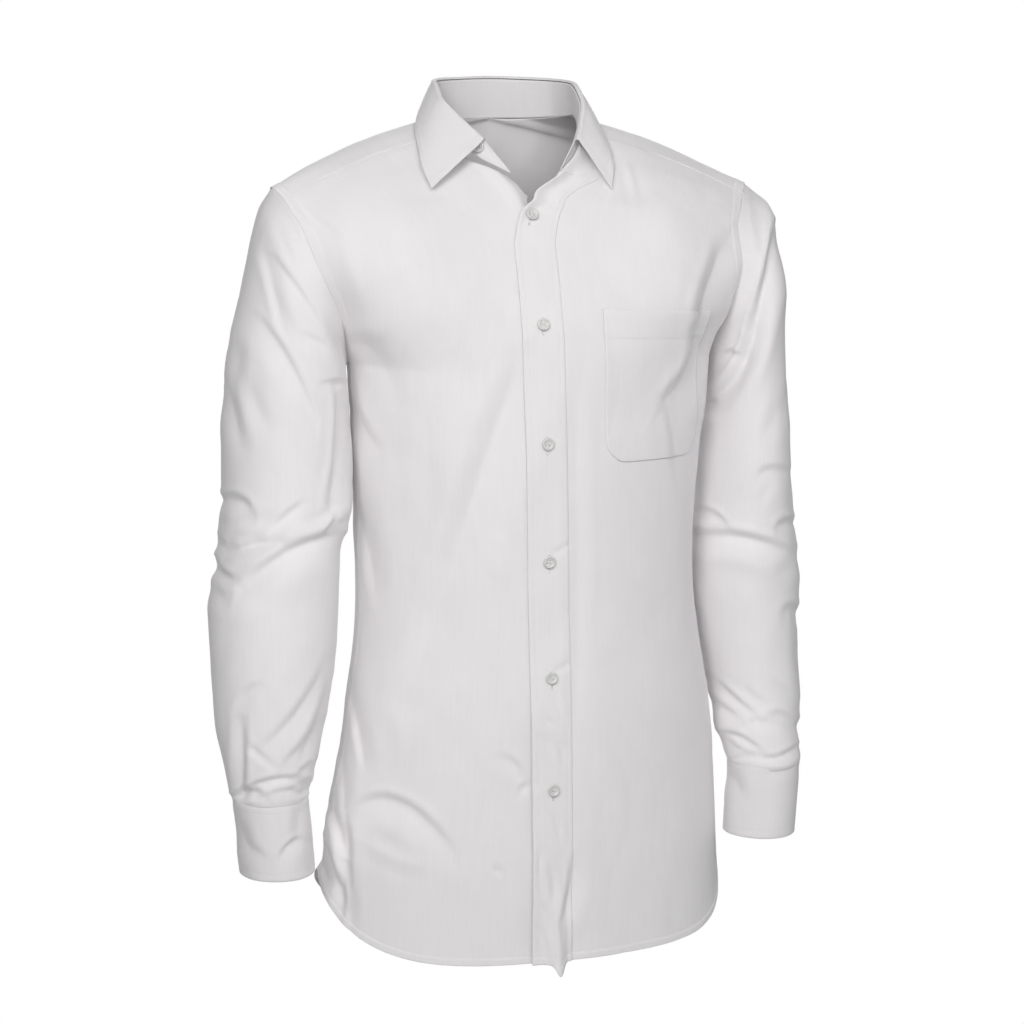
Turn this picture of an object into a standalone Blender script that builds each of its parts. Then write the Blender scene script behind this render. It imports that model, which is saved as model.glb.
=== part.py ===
"""A long sleeve dress shirt, filled out as if it were worn, with nobody in it.

Frame: metres, +Z up. The front faces -Y and the wearer's left is +X. The origin is the nape:
the middle of the back neckline, where the collar stand meets the yoke.

Every panel is a strip of one body surface. BODY_ROWS holds the rows of that surface, from the front hem
up over the shoulder and down to the back hem. A row runs from the middle of the garment (or from its
neckline or front edge) to the armhole or the side seam. Sleeves are rings between the armhole and the
cuff. The sizes in the tables are in millimetres and degrees.
"""

import math

import bpy
import numpy as np

MM = 0.001
WALL = 1.2  # thickness of the cloth's wall
GAP = 0.3  # space between two layers
SEAM = 0.2  # how far a panel stops short of its seam line, so that two are 0.4 apart
LAYER = WALL + GAP  # what one layer adds to the one below it
LAP_LAYER = LAYER + 0.2  # the same where the left front laps over the right one

# Body: rows of the surface. edge_* is the x of the row's inner end on the wearer's right and left,
# mid_y and mid_z its place, side_* the outer end at the armhole or side seam (side_x is the half width,
# side_shift moves both sides to the wearer's left), end_turn the plan direction at the outer end,
# bow a rise in the middle of the row, and rise_* the power by which z goes from mid_z to side_z.
BODY_COLUMNS = (
    "name", "edge_right", "edge_left", "mid_y", "mid_z",
    "side_x", "side_shift", "side_y", "side_z", "start_turn", "end_turn", "bow",
    "rise_right", "rise_left",
)
BODY_ROWS = (
    ("front hem", 0, 0, -188, -773, 196, 1, -84, -695, 0, 90, 0, 3.8, 7),
    ("front hip", 0, 0, -193, -660, 188, 5, -82, -639, 0, 90, 0, 2.4, 3),
    ("front seat", 0, 0, -193, -557, 178, 13, -80, -552, 0, 90, 0, 1.2, 1.4),
    ("front waist", 0, 0, -187, -436, 164, 12, -78, -436, 0, 90, 0, 1, 1),
    ("front rib", 0, 0, -184, -315, 161, 10, -74, -315, 0, 90, 0, 1, 1),
    ("front underarm", 0, 0, -178, -230, 158, 8, -66, -222, 0, 90, 0, 1, 1),
    ("front armhole low", 0, 0, -175, -201, 164, 6, -92, -206, 0, 76, 0, 1, 1),
    ("front chest", 0, 0, -169, -168, 174, 4, -114, -180, 0, 58, 0, 1, 1),
    ("front bust", 0, 0, -152, -119, 194, 2, -130, -139, 0, 30, 0, 1, 1),
    ("front opening", 0, 0, -133, -75, 207, 0, -122, -99, 0, 22, 0, 1, 1),
    ("front neck end", -13, 33, -122, -52, 214, 0, -112, -85, 4, 16, 4, 1, 1),
    ("front neck", -43, 53, -106, -35, 217, 0, -106, -78, 2, 8, 7, 1, 1),
    ("front yoke seam", -64, 63, -84, -15, 220, 0, -100, -72, -4, -2, 7, 1, 1),
    ("shoulder", -67, 67, -56, 0, 227, 0, -86, -63, -6, -12, 6, 1, 1),
    ("shoulder back", -63, 63, -36, 1, 225, 0, -70, -65, -6, -16, 6, 1, 1),
    ("nape side", -37, 37, -8, 0, 220, 0, -54, -74, -4, -20, 7, 1, 1),
    ("nape", 0, 0, 0, 0, 215, 0, -42, -84, 0, -22, 10, 1, 1),
    ("yoke middle", 0, 0, 14, -47, 208, 0, -28, -97, 0, -24, 4, 1, 1),
    ("back yoke seam", 0, 0, 24, -93, 202, 0, -16, -115, 0, -28, 0, 1, 1),
    ("back blade", 0, 0, 34, -147, 193, 0, -10, -149, 0, -36, 0, 1, 1),
    ("back armhole low", 0, 0, 39, -196, 174, 4, -28, -196, 0, -62, 0, 1, 1),
    ("back underarm", 0, 0, 41, -235, 158, 8, -66, -222, 0, -90, 0, 1, 1),
    ("back rib", 0, 0, 38, -315, 161, 10, -74, -315, 0, -90, 0, 1, 1),
    ("back waist", 0, 0, 28, -436, 164, 12, -78, -436, 0, -90, 0, 1, 1),
    ("back seat", 0, 0, 32, -557, 178, 13, -80, -552, 0, -90, 0, 1.2, 1.4),
    ("back hip", 0, 0, 34, -660, 188, 5, -82, -639, 0, -90, 0, 2.4, 3),
    ("back hem", 0, 0, 34, -805, 196, 1, -84, -695, 0, -90, 0, 2.2, 2.6),
)
ROW_NAMES = [row[0] for row in BODY_ROWS]
BODY = {
    column: np.array([float(row[k]) for row in BODY_ROWS])
    for k, column in enumerate(BODY_COLUMNS)
    if k
}
FULLNESS = 0.6  # how square a row's corner is, 0.55 for a round one

# Sleeves: rings from the armhole to the cuff seam. Each is an oval between an outer and an inner point.
SLEEVE_COLUMNS = ("name", "outer_x", "outer_z", "inner_x", "inner_z", "mid_y", "half_depth")
SLEEVE_RINGS = {
    "right": (
        ("cap", 235, -82, 158, -231, -72, 62),
        ("head", 242, -105, 155, -245, -73, 64),
        ("biceps top", 254, -156, 154, -270, -74, 66),
        ("biceps", 268, -216, 154, -295, -76, 66),
        ("upper arm", 275, -285, 156, -330, -80, 65),
        ("above elbow", 278, -347, 161, -365, -86, 64),
        ("elbow", 288, -400, 171, -400, -94, 64),
        ("below elbow", 294, -446, 176, -441, -100, 62),
        ("forearm", 293, -496, 181, -491, -106, 60),
        ("forearm low", 291, -542, 190, -537, -112, 55),
        ("above cuff", 284, -582, 202, -576, -117, 48),
        ("cuff seam", 279, -611, 210, -611, -120, 40),
    ),
    "left": (
        ("cap", 248, -76, 170, -231, -72, 62),
        ("head", 261, -105, 173, -245, -73, 64),
        ("biceps top", 266, -156, 175, -270, -74, 66),
        ("biceps", 267, -216, 177, -295, -76, 66),
        ("upper arm", 270, -285, 177, -330, -80, 65),
        ("above elbow", 270, -347, 179, -365, -86, 64),
        ("elbow", 275, -400, 181, -400, -94, 64),
        ("below elbow", 278, -446, 184, -441, -100, 62),
        ("forearm", 275, -496, 189, -491, -106, 60),
        ("forearm low", 276, -542, 193, -537, -112, 55),
        ("above cuff", 269, -582, 195, -576, -117, 48),
        ("cuff seam", 269, -611, 200, -611, -120, 40),
    ),
}
CUFF_HEIGHT = 68
CUFF_LEAN = 5  # how far the cuff's lower edge lies towards the body
CUFF_OPENING_TURN = -45  # where the cuff is buttoned, degrees from the outer side towards the back
CUFF_LAP = 22
CUFF_LIFT = 2.1  # how far out its upper end lies
SLIT_BAND_WIDTH = 26
SLIT_BAND_LENGTH = 130
SLIT_BAND_POINT = 14

# Collar: stations from the front end to the back. base is the neckline, fold the top of the stand,
# leaf the outer edge of the leaf, whose first station is its point.
COLLAR_COLUMNS = (
    "name", "base_x", "base_y", "base_z", "fold_x", "fold_y", "fold_z", "leaf_x", "leaf_y", "leaf_z",
)
COLLAR_STATIONS = {
    "left": (
        ("end", 33, -122, -52, 51, -112, -23, 80, -131, -66),
        ("front", 53, -106, -35, 60, -97, -4, 86, -117, -42),
        ("side front", 63, -84, -15, 66, -80, 16, 87, -86, -15),
        ("side", 67, -56, 0, 65, -56, 31, 81, -50, 3),
        ("side back", 59, -24, 1, 55, -26, 35, 69, -8, 0),
        ("near back", 31, -5, 0, 29, -10, 37, 41, 11, -5),
        ("back", 0, 0, 0, 0, -5, 38, 0, 17, -7),
    ),
    "right": (
        ("end", -13, -122, -52, -35, -111, -22, -90, -131, -64),
        ("front", -43, -106, -35, -55, -96, 0, -95, -115, -42),
        ("side front", -64, -84, -15, -66, -78, 18, -93, -86, -16),
        ("side", -67, -56, 0, -65, -56, 31, -82, -50, 3),
        ("side back", -59, -24, 1, -55, -26, 35, -69, -8, 0),
        ("near back", -31, -5, 0, -29, -10, 37, -41, 11, -5),
        ("back", 0, 0, 0, 0, -5, 38, 0, 17, -7),
    ),
}
STAND_OVER_LAP = 4.0  # how much higher the stand starts on the thicker left front
STAND_BUTTON_STATION = 2
# The leaf's section: the share of the way from fold to edge, and how far it stands out and up there.
LEAF_PROFILE = ((0, 0.4, 0.4), (0, 1.8, 1.6), (0, 3.6, 1.2), (0.12, 4.0, 0), (0.45, 3.0, 0), (1, 0, 0))

PLACKET_WIDTH = 38
# Each front's free edge: its distance along the row from the inner end at these heights, and at all lower ones
# the first. Below 0 it lies past the middle, so that the fronts lap, and they part at the neck.
OPENING_LEVELS = (-112, -87, -75, -63, -54)
OPENING_STARTS = {"left": (-19, -10, 4.7, 3, 0.3), "right": (-19, -8, -1, 0.3, 0.3)}
BUTTON_LEVELS = (-90, -187, -293, -399, -504, -606)
BUTTON_DIAMETER = 11.4
BUTTON_THICKNESS = 2.6

POCKET_START = 62  # along the chest, from the middle of the front
POCKET_WIDTH = 118
POCKET_TOP = -166
POCKET_HEIGHT = 142
POCKET_CORNER = 22

# Largest folds of the cloth: a quadratic curve from start to end, bent by its middle point. On the body u
# is along the row from the middle, to the wearer's left, and v the height of the row's inner end. On a
# sleeve u is the turn round it in degrees, 0 at the outer side and 90 at the front, and v the distance
# below the shoulder.
FOLD_COLUMNS = ("piece", "u0", "v0", "u1", "v1", "u2", "v2", "half_width", "height")
FOLDS = (
    ("front", 8, -225, -55, -330, -95, -520, 16, -4.0),
    ("front", -95, -520, -110, -600, -150, -640, 14, -3.5),
    ("front", -75, -240, -90, -300, -80, -380, 12, -3.5),
    ("front", -175, -605, -120, -590, -75, -655, 9, -5.0),
    ("front", -25, -560, -5, -575, -15, -625, 8, -3.0),
    ("front", 195, -150, 165, -215, 158, -280, 11, -8.0),
    ("front", 158, -280, 165, -340, 178, -470, 12, -6.0),
    ("front", 40, -230, 46, -420, 42, -640, 13, -2.5),
    ("front", 120, -360, 135, -480, 120, -640, 20, -3.0),
    ("back", -120, -170, -40, -300, -60, -520, 18, -4.0),
    ("back", 120, -170, 40, -300, 60, -520, 18, -4.0),
    ("back", -150, -560, -60, -600, 20, -560, 16, -4.0),
    ("back", 150, -560, 80, -620, 10, -600, 16, -4.0),
    ("sleeve_right", 40, 90, 70, 150, 150, 215, 9, -6.0),
    ("sleeve_right", 20, 95, 60, 170, 120, 290, 11, -5.0),
    ("sleeve_right", 176, 335, 110, 330, 20, 352, 9, -8.0),
    ("sleeve_right", 180, 312, 120, 322, 60, 322, 12, 6.0),
    ("sleeve_right", 170, 350, 100, 362, 40, 400, 10, -6.0),
    ("sleeve_right", -10, 352, 30, 345, 70, 345, 8, -7.0),
    ("sleeve_right", 150, 480, 90, 520, 60, 580, 12, -5.0),
    ("sleeve_right", 20, 520, 25, 560, 25, 600, 8, -6.0),
    ("sleeve_left", 25, 70, 60, 160, 110, 215, 12, -8.0),
    ("sleeve_left", 170, 330, 110, 352, 20, 372, 12, -8.0),
    ("sleeve_left", 60, 300, 90, 290, 120, 315, 9, -5.0),
    ("sleeve_left", 130, 490, 90, 520, 60, 545, 11, -5.0),
    ("sleeve_left", 130, 540, 90, 560, 20, 575, 10, -6.0),
)

SLEEVE_RADIUS = 62  # what a sleeve's folds count a degree round it with

ROWS_OF_FRONT = 29
ROW_APART = 0.15  # how near an even row may come to one that is asked for
ROWS_OF_BACK = 23
COLUMNS_OF_BACK = 21
COLUMNS_OF_YOKE = 9
ROWS_OF_SLEEVE = 29
SIDES_OF_SLEEVE = 24
STATIONS_OF_COLLAR = 33


def clear_scene():
    for old in list(bpy.data.objects):
        bpy.data.objects.remove(old, do_unlink=True)


def smooth_through(knots, values, at):
    """A cubic through values at knots that never overshoots them, read at the places in `at`."""
    knots = np.asarray(knots, float)
    values = np.asarray(values, float)
    at = np.asarray(at, float)
    steps = np.diff(knots).reshape((-1,) + (1,) * (values.ndim - 1))
    slopes = np.diff(values, axis=0) / steps
    before, after = slopes[:-1], slopes[1:]
    same_way = before * after > 0
    total = np.where(same_way, before + after, 1.0)
    tangents = np.concatenate([slopes[:1], np.where(same_way, 2 * before * after / total, 0.0), slopes[-1:]])
    part = np.clip(np.searchsorted(knots, at, side="right") - 1, 0, len(knots) - 2)
    step = (knots[part + 1] - knots[part]).reshape(at.shape + (1,) * (values.ndim - 1))
    t = ((at - knots[part]).reshape(step.shape)) / step
    low, high = values[part], values[part + 1]
    return (
        low * (1 + 2 * t) * (1 - t) ** 2
        + high * t * t * (3 - 2 * t)
        + step * (tangents[part] * t * (1 - t) ** 2 - tangents[part + 1] * t * t * (1 - t))
    )


def row_of(name):
    return ROW_NAMES.index(name)


def row_at_level(level, first="front hem", last="front yoke seam"):
    """The row, as a number that may lie between two, whose inner end is at this height."""
    rows = np.linspace(row_of(first), row_of(last), 400)
    heights = smooth_through(np.arange(len(BODY_ROWS)), BODY["mid_z"], rows)
    order = np.argsort(heights)
    return np.interp(level, heights[order], rows[order])


def body_column(name, row):
    """A column of the table at any row. The outer ends turn sharply at the underarm, so they stop there."""
    every = np.arange(len(BODY_ROWS))
    if not name.startswith("side"):
        return smooth_through(every, BODY[name], row)
    corners = (0, row_of("front underarm"), row_of("back underarm"), len(BODY_ROWS) - 1)
    out = np.empty_like(row)
    for low, high in zip(corners[:-1], corners[1:]):
        inside = (row >= low) & (row <= high)
        span = slice(low, high + 1)
        out[inside] = smooth_through(every[span], BODY[name][span], row[inside])
    return out


def row_curve(side, row, samples=65):
    """One row of a half body at each place in `row`, as points (rows, samples, 3) and lengths along them.

    In plan it is a Bezier curve whose handles point along start_turn and end_turn. The height goes from
    mid_z to side_z by a power of the share of the length, plus a bow.
    """
    sign = 1 if side == "left" else -1
    t = np.linspace(0, 1, samples)
    start = np.stack([body_column("edge_" + side, row), body_column("mid_y", row)], -1)
    half = body_column("side_x", row) + sign * body_column("side_shift", row)
    end = np.stack([sign * half, body_column("side_y", row)], -1)
    turns = [np.radians(body_column(name, row)) for name in ("start_turn", "end_turn")]
    ways = [np.stack([sign * np.cos(turn), np.sin(turn)], -1) for turn in turns]
    chord = end - start
    reach = [FULLNESS * np.abs(way * chord).sum(-1, keepdims=True) for way in ways]
    handles = start + reach[0] * ways[0], end - reach[1] * ways[1]
    weights = (1 - t) ** 3, 3 * t * (1 - t) ** 2, 3 * t * t * (1 - t), t**3
    plan = sum(
        weight[None, :, None] * point[:, None, :]
        for weight, point in zip(weights, (start, *handles, end))
    )
    steps = np.linalg.norm(np.diff(plan, axis=1), axis=2)
    lengths = np.concatenate([np.zeros((len(row), 1)), np.cumsum(steps, axis=1)], axis=1)
    share = lengths / lengths[:, -1:]
    low, high = body_column("mid_z", row)[:, None], body_column("side_z", row)[:, None]
    power, bow = body_column("rise_" + side, row)[:, None], body_column("bow", row)[:, None]
    height = low + (high - low) * share**power + bow * np.sin(math.pi * share)
    return np.concatenate([plan, height[:, :, None]], axis=2), lengths


def body_points(side, row, along):
    """Points of the body surface: `along` (rows, columns) is the distance from the row's inner end, and a
    distance below 0 lies on the other half."""
    row = np.asarray(row, float)
    out = np.empty(along.shape + (3,))
    other = "right" if side == "left" else "left"
    own, own_lengths = row_curve(side, row)
    far, far_lengths = row_curve(other, row)
    for k in range(len(row)):
        for axis in range(3):
            out[k, :, axis] = np.where(
                along[k] >= 0,
                np.interp(along[k], own_lengths[k], own[k, :, axis]),
                np.interp(-along[k], far_lengths[k], far[k, :, axis]),
            )
    return out


def row_lengths(side, row):
    return row_curve(side, np.asarray(row, float))[1][:, -1]


def body_normals(side, row, along):
    """Unit normals of the body surface, from the slope along each row and from row to row."""
    row = np.asarray(row, float)
    step = 0.5
    forth = body_points(side, row, along + step) - body_points(side, row, along - step)
    low, high = np.maximum(row - 0.02, 0), np.minimum(row + 0.02, len(BODY_ROWS) - 1)
    upward = body_points(side, high, along) - body_points(side, low, along)
    normal = np.cross(forth, upward) * (1 if side == "left" else -1)
    return normal / np.linalg.norm(normal, axis=2, keepdims=True)


def grid_normals(points, closed=False):
    """Unit normals of a grid of points: along its rows crossed with down its columns."""
    if closed:
        wide = np.concatenate([points[:, -1:], points, points[:, :1]], axis=1)
        along = (wide[:, 2:] - wide[:, :-2]) / 2
    else:
        along = np.gradient(points, axis=1)
    normal = np.cross(along, np.gradient(points, axis=0))
    return normal / np.maximum(np.linalg.norm(normal, axis=2, keepdims=True), 1e-9)


def fold_height(piece, u, v, turn_size=None):
    """How far the folds of a piece move its points out, at coordinates u and v in millimetres or degrees.

    Each fold is height * exp(-(distance / half_width)^2), faded towards its two ends.
    """
    total = np.zeros(u.shape)
    t = np.linspace(0, 1, 25)
    fade = np.minimum(1, 4 * np.minimum(t, 1 - t) + 0.25)
    for row in FOLDS:
        fold = dict(zip(FOLD_COLUMNS, row))
        if fold["piece"] != piece:
            continue
        path_u = fold["u0"] * (1 - t) ** 2 + 2 * fold["u1"] * t * (1 - t) + fold["u2"] * t * t
        path_v = fold["v0"] * (1 - t) ** 2 + 2 * fold["v1"] * t * (1 - t) + fold["v2"] * t * t
        apart_u = u[..., None] - path_u
        if turn_size is not None:
            apart_u = ((apart_u + 180) % 360 - 180) * turn_size
        apart = np.hypot(apart_u, v[..., None] - path_v)
        nearest = apart.argmin(-1)
        distance = np.take_along_axis(apart, nearest[..., None], -1)[..., 0]
        total += fold["height"] * fade[nearest] * np.exp(-((distance / fold["half_width"]) ** 2))
    return total


def cloth_material(name, colour, roughness):
    material = bpy.data.materials.new(name)
    material.use_nodes = True
    shader = material.node_tree.nodes["Principled BSDF"]
    shader.inputs["Base Color"].default_value = (*colour, 1)
    shader.inputs["Roughness"].default_value = roughness
    shader.inputs["Metallic"].default_value = 0
    return material


def add_object(name, points, faces, material):
    """A mesh object from points in millimetres."""
    mesh = bpy.data.meshes.new(name)
    mesh.from_pydata((np.asarray(points).reshape(-1, 3) * MM).tolist(), [], faces)
    mesh.materials.append(material)
    mesh.shade_smooth()
    mesh.set_sharp_from_angle(angle=math.radians(50))
    obj = bpy.data.objects.new(name, mesh)
    bpy.context.scene.collection.objects.link(obj)
    return obj


def grid_faces(rows, columns, closed=False, first=0, flip=False):
    """Quads of a grid, whose faces turn the same way as grid_normals."""
    faces = []
    for r in range(rows - 1):
        for c in range(columns if closed else columns - 1):
            d = (c + 1) % columns
            quad = (r * columns + c, r * columns + d, (r + 1) * columns + d, (r + 1) * columns + c)
            quad = tuple(first + k for k in quad)
            faces.append(quad[::-1] if flip else quad)
    return faces


def add_wall(name, outer, normal, faces, material):
    """A closed wall: the outer face, the same face WALL further in, and a rim along every open edge."""
    outer, normal = outer.reshape(-1, 3), normal.reshape(-1, 3)
    count = len(outer)
    edges = {(a, b) for face in faces for a, b in zip(face, face[1:] + face[:1])}
    rim = [(b, a, a + count, b + count) for a, b in sorted(edges) if (b, a) not in edges]
    # The inner face starts at the same corner, so that its quads split along the same diagonals.
    inside = [tuple(k + count for k in face[:1] + face[:0:-1]) for face in faces]
    return add_object(name, np.concatenate([outer, outer - WALL * normal]), faces + inside + rim, material)


def add_sheet(name, outer, normal, material, closed=False, flip=False):
    return add_wall(name, outer, normal, grid_faces(*outer.shape[:2], closed, flip=flip), material)


def even_rows(first, last, count, start_gap, end_gap):
    """Row numbers from one row to another, evenly far apart down the panel, short of both by a gap."""
    dense = np.linspace(first, last, 400)
    middle = body_points("left", dense, row_lengths("left", dense)[:, None] * 0.6)[:, 0]
    run = np.concatenate([[0], np.cumsum(np.linalg.norm(np.diff(middle, axis=0), axis=1))])
    return np.interp(np.linspace(start_gap, run[-1] - end_gap, count), run, dense)


def level_of(rows):
    return smooth_through(np.arange(len(BODY_ROWS)), BODY["mid_z"], rows)[:, None]


def opening_start(side, rows):
    return np.interp(level_of(rows), OPENING_LEVELS, OPENING_STARTS[side])


def front_columns(side, rows):
    """Distances along a front's rows: across the placket, the pocket and then round to the side."""
    length = row_lengths(side, rows)[:, None] - 2 * SEAM
    band = opening_start(side, rows) + PLACKET_WIDTH * np.array([[0, 1, 2, 3]]) / 3
    pocket_end = POCKET_START + POCKET_WIDTH
    shrink = np.minimum(1, (length - 12) / pocket_end)
    chest = np.array([[POCKET_START - 20, *np.linspace(POCKET_START, pocket_end, 4)]]) * shrink
    chest[:, :1] = np.maximum(chest[:, :1], band[:, -1:] + 3)
    rest = chest[:, -1:] + (length - chest[:, -1:]) * np.array([[1, 2, 3, 4]]) / 4
    return np.concatenate([band, chest, rest], axis=1)


def front_panel(side):
    """Outer points and normals of a front, with its folds. The left one lies a layer out at the overlap."""
    rows = even_rows(0, row_of("front yoke seam"), ROWS_OF_FRONT, 0, SEAM)
    exact = row_at_level(np.array([POCKET_TOP - POCKET_HEIGHT, POCKET_TOP, *OPENING_LEVELS]))
    apart = np.abs(rows[:, None] - exact).min(axis=1)
    rows = np.sort(np.concatenate([rows[apart > ROW_APART], exact]))
    along = front_columns(side, rows)
    points, normal = body_points(side, rows, along), body_normals(side, rows, along)
    sign = 1 if side == "left" else -1
    out = fold_height("front", sign * along, np.broadcast_to(level_of(rows), along.shape))
    if side == "left":
        fade = np.clip((along - 30) / 60, 0, 1)
        out = out + LAP_LAYER * (1 - fade * fade * (3 - 2 * fade))
    return rows, points + normal * out[:, :, None], normal


def read_grid(grid, at_row, at_column):
    """A grid's values between its points."""
    r = np.clip(np.floor(at_row).astype(int), 0, grid.shape[0] - 2)
    c = np.clip(np.floor(at_column).astype(int), 0, grid.shape[1] - 2)
    u, v = (at_row - r)[..., None], (at_column - c)[..., None]
    low = grid[r, c] * (1 - v) + grid[r, c + 1] * v
    return low * (1 - u) + (grid[r + 1, c] * (1 - v) + grid[r + 1, c + 1] * v) * u


def make_fronts(cloth):
    for side in ("right", "left"):
        _, points, normal = front_panel(side)
        add_sheet("front_" + side, points, normal, cloth, flip=side == "right")


def make_placket(cloth):
    """The band lies on the first columns of the left front, from the hem to the neckline."""
    rows, points, normal = front_panel("left")
    count = int((rows < row_of("front neck end")).sum())
    outer = points[:count, :4] + LAYER * normal[:count, :4]
    add_sheet("front_placket", outer, normal[:count, :4], cloth)


def make_pocket(cloth):
    """A patch over three columns of the left front. Its lower corners are quarter circles."""
    rows, points, normal = front_panel("left")
    step_up = POCKET_CORNER * (1 - np.cos(np.radians([0, 22, 45, 67, 90])))
    corner_rows = row_at_level(POCKET_TOP - POCKET_HEIGHT + step_up)
    top = row_at_level(np.array([POCKET_TOP]))[0]
    whole = np.flatnonzero((rows > corner_rows[-1] + 0.02) & (rows < top + 0.001))
    at_row = np.concatenate([np.interp(corner_rows, rows, np.arange(len(rows))), whole])
    rise = np.minimum(np.concatenate([step_up, np.full(len(whole), POCKET_CORNER)]) / POCKET_CORNER, 1)
    inset = POCKET_CORNER * (1 - np.sqrt(1 - (1 - rise) ** 2)) / (POCKET_WIDTH / 3)
    first, last = 5, 8
    at_column = np.stack([first + inset, first + 1 + 0 * inset, last - 1 + 0 * inset, last - inset], axis=1)
    at_row = np.broadcast_to(at_row[:, None], at_column.shape)
    out = read_grid(normal, at_row, at_column)
    add_sheet("pocket", read_grid(points, at_row, at_column) + (LAYER + 0.05) * out, out, cloth)


def half_pair(rows, along, reader):
    """Reads a function of (side, rows, along) on both halves, `along` being counted to the wearer's left."""
    left, right = reader("left", rows, np.maximum(along, 0)), reader("right", rows, np.maximum(-along, 0))
    return np.where((along >= 0)[:, :, None], left, right)


def make_back(cloth):
    rows = even_rows(row_of("back yoke seam"), len(BODY_ROWS) - 1, ROWS_OF_BACK, SEAM, 0)
    even = np.linspace(-1, 1, COLUMNS_OF_BACK)[None, :]
    share = (even + np.sin(even * math.pi / 2)) / 2
    ends = {side: row_lengths(side, rows)[:, None] - SEAM for side in ("right", "left")}
    along = share * np.where(share < 0, ends["right"], ends["left"])
    points, normal = half_pair(rows, along, body_points), half_pair(rows, along, body_normals)
    out = fold_height("back", along, np.broadcast_to(level_of(rows), along.shape))
    add_sheet("back", points + normal * out[:, :, None], normal, cloth)


def make_yoke(cloth):
    """Two halves that share the points down the middle of the back, so that the neckline stays open."""
    first, last = row_of("front yoke seam"), row_of("back yoke seam")
    ends = even_rows(first, first + 1, 2, SEAM, 0)[0], even_rows(last - 1, last, 2, 0, SEAM)[1]
    rows = np.array([ends[0], first + 0.5, *range(first + 1, last), last - 0.5, ends[1]])
    half = {}
    for side in ("left", "right"):
        share = np.linspace(0, 1, COLUMNS_OF_YOKE)[None, :]
        start = SEAM * (rows[:, None] < row_of("nape"))
        along = start + (row_lengths(side, rows)[:, None] - SEAM - start) * share
        half[side] = body_points(side, rows, along), body_normals(side, rows, along)
    size = len(rows) * COLUMNS_OF_YOKE
    behind = [k * COLUMNS_OF_YOKE for k in range(len(rows)) if rows[k] >= row_of("nape")]
    shared = {size + k: k for k in behind}
    faces = grid_faces(len(rows), COLUMNS_OF_YOKE)
    for face in grid_faces(len(rows), COLUMNS_OF_YOKE, first=size, flip=True):
        faces.append(tuple(shared.get(k, k) for k in face))
    used = sorted({k for face in faces for k in face})
    place = {k: n for n, k in enumerate(used)}
    points, normal = (np.concatenate([half[side][k].reshape(-1, 3) for side in ("left", "right")]) for k in (0, 1))
    for k in behind:
        normal[k, 0] = 0
        normal[k] /= np.linalg.norm(normal[k])
    add_wall("yoke", points[used], normal[used], [tuple(place[k] for k in face) for face in faces], cloth)


def armhole_ring(side, sides):
    """The armhole, from the underarm round the front, over the shoulder and down the back."""
    rows = np.linspace(row_of("front underarm"), row_of("back underarm"), 400)
    sign = 1 if side == "left" else -1
    ring = np.stack(
        [
            sign * (body_column("side_x", rows) + sign * body_column("side_shift", rows)),
            body_column("side_y", rows),
            body_column("side_z", rows),
        ],
        -1,
    )
    run = np.concatenate([[0], np.cumsum(np.linalg.norm(np.diff(ring, axis=0), axis=1))])
    top = np.interp(row_of("shoulder"), rows, run)
    share = np.arange(sides) / sides
    at = np.where(share < 0.5, share * 2 * top, top + (share - 0.5) * 2 * (run[-1] - top))
    return np.stack([np.interp(at, run, ring[:, axis]) for axis in range(3)], -1)


def sleeve_panel(side):
    """Outer points and normals of a sleeve (rings, sides, 3), and each ring's distance below the shoulder.

    The sides go from the underarm (180 degrees) round the front (90) and the outer side (0) to the back.
    """
    sign = 1 if side == "left" else -1
    degrees = 180 - 360 * np.arange(SIDES_OF_SLEEVE) / SIDES_OF_SLEEVE
    turn = np.radians(degrees)[:, None]
    rings = [armhole_ring(side, SIDES_OF_SLEEVE)]
    for row in SLEEVE_RINGS[side]:
        ring = dict(zip(SLEEVE_COLUMNS, row))
        outer = np.array([sign * ring["outer_x"], ring["mid_y"], ring["outer_z"]], float)
        inner = np.array([sign * ring["inner_x"], ring["mid_y"], ring["inner_z"]], float)
        reach = np.array([0.0, ring["half_depth"], 0.0])
        rings.append((outer + inner) / 2 + np.cos(turn) * (outer - inner) / 2 - np.sin(turn) * reach)
    rings = np.array(rings)
    centres = rings.mean(1)
    run = np.concatenate([[0], np.cumsum(np.linalg.norm(np.diff(centres, axis=0), axis=1))])
    at = np.linspace(0, run[-1], ROWS_OF_SLEEVE)
    at[0] = 3 * SEAM
    points = smooth_through(run, rings, at)
    below = np.interp(at, run, centres[0, 2] - centres[:, 2]) + 60
    normal = -sign * grid_normals(points, closed=True)
    across, down = np.broadcast_arrays(degrees[None, :], below[:, None])
    out = fold_height("sleeve_" + side, across, down, math.radians(SLEEVE_RADIUS))
    fade = np.clip(np.minimum(at, run[-1] - at) / 30, 0, 1)[:, None]
    return points + normal * (out * fade)[:, :, None], normal, below


def make_sleeves(cloth):
    for side in ("right", "left"):
        points, normal, _ = sleeve_panel(side)
        add_sheet("sleeve_" + side, points, normal, cloth, closed=True, flip=side == "left")


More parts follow.
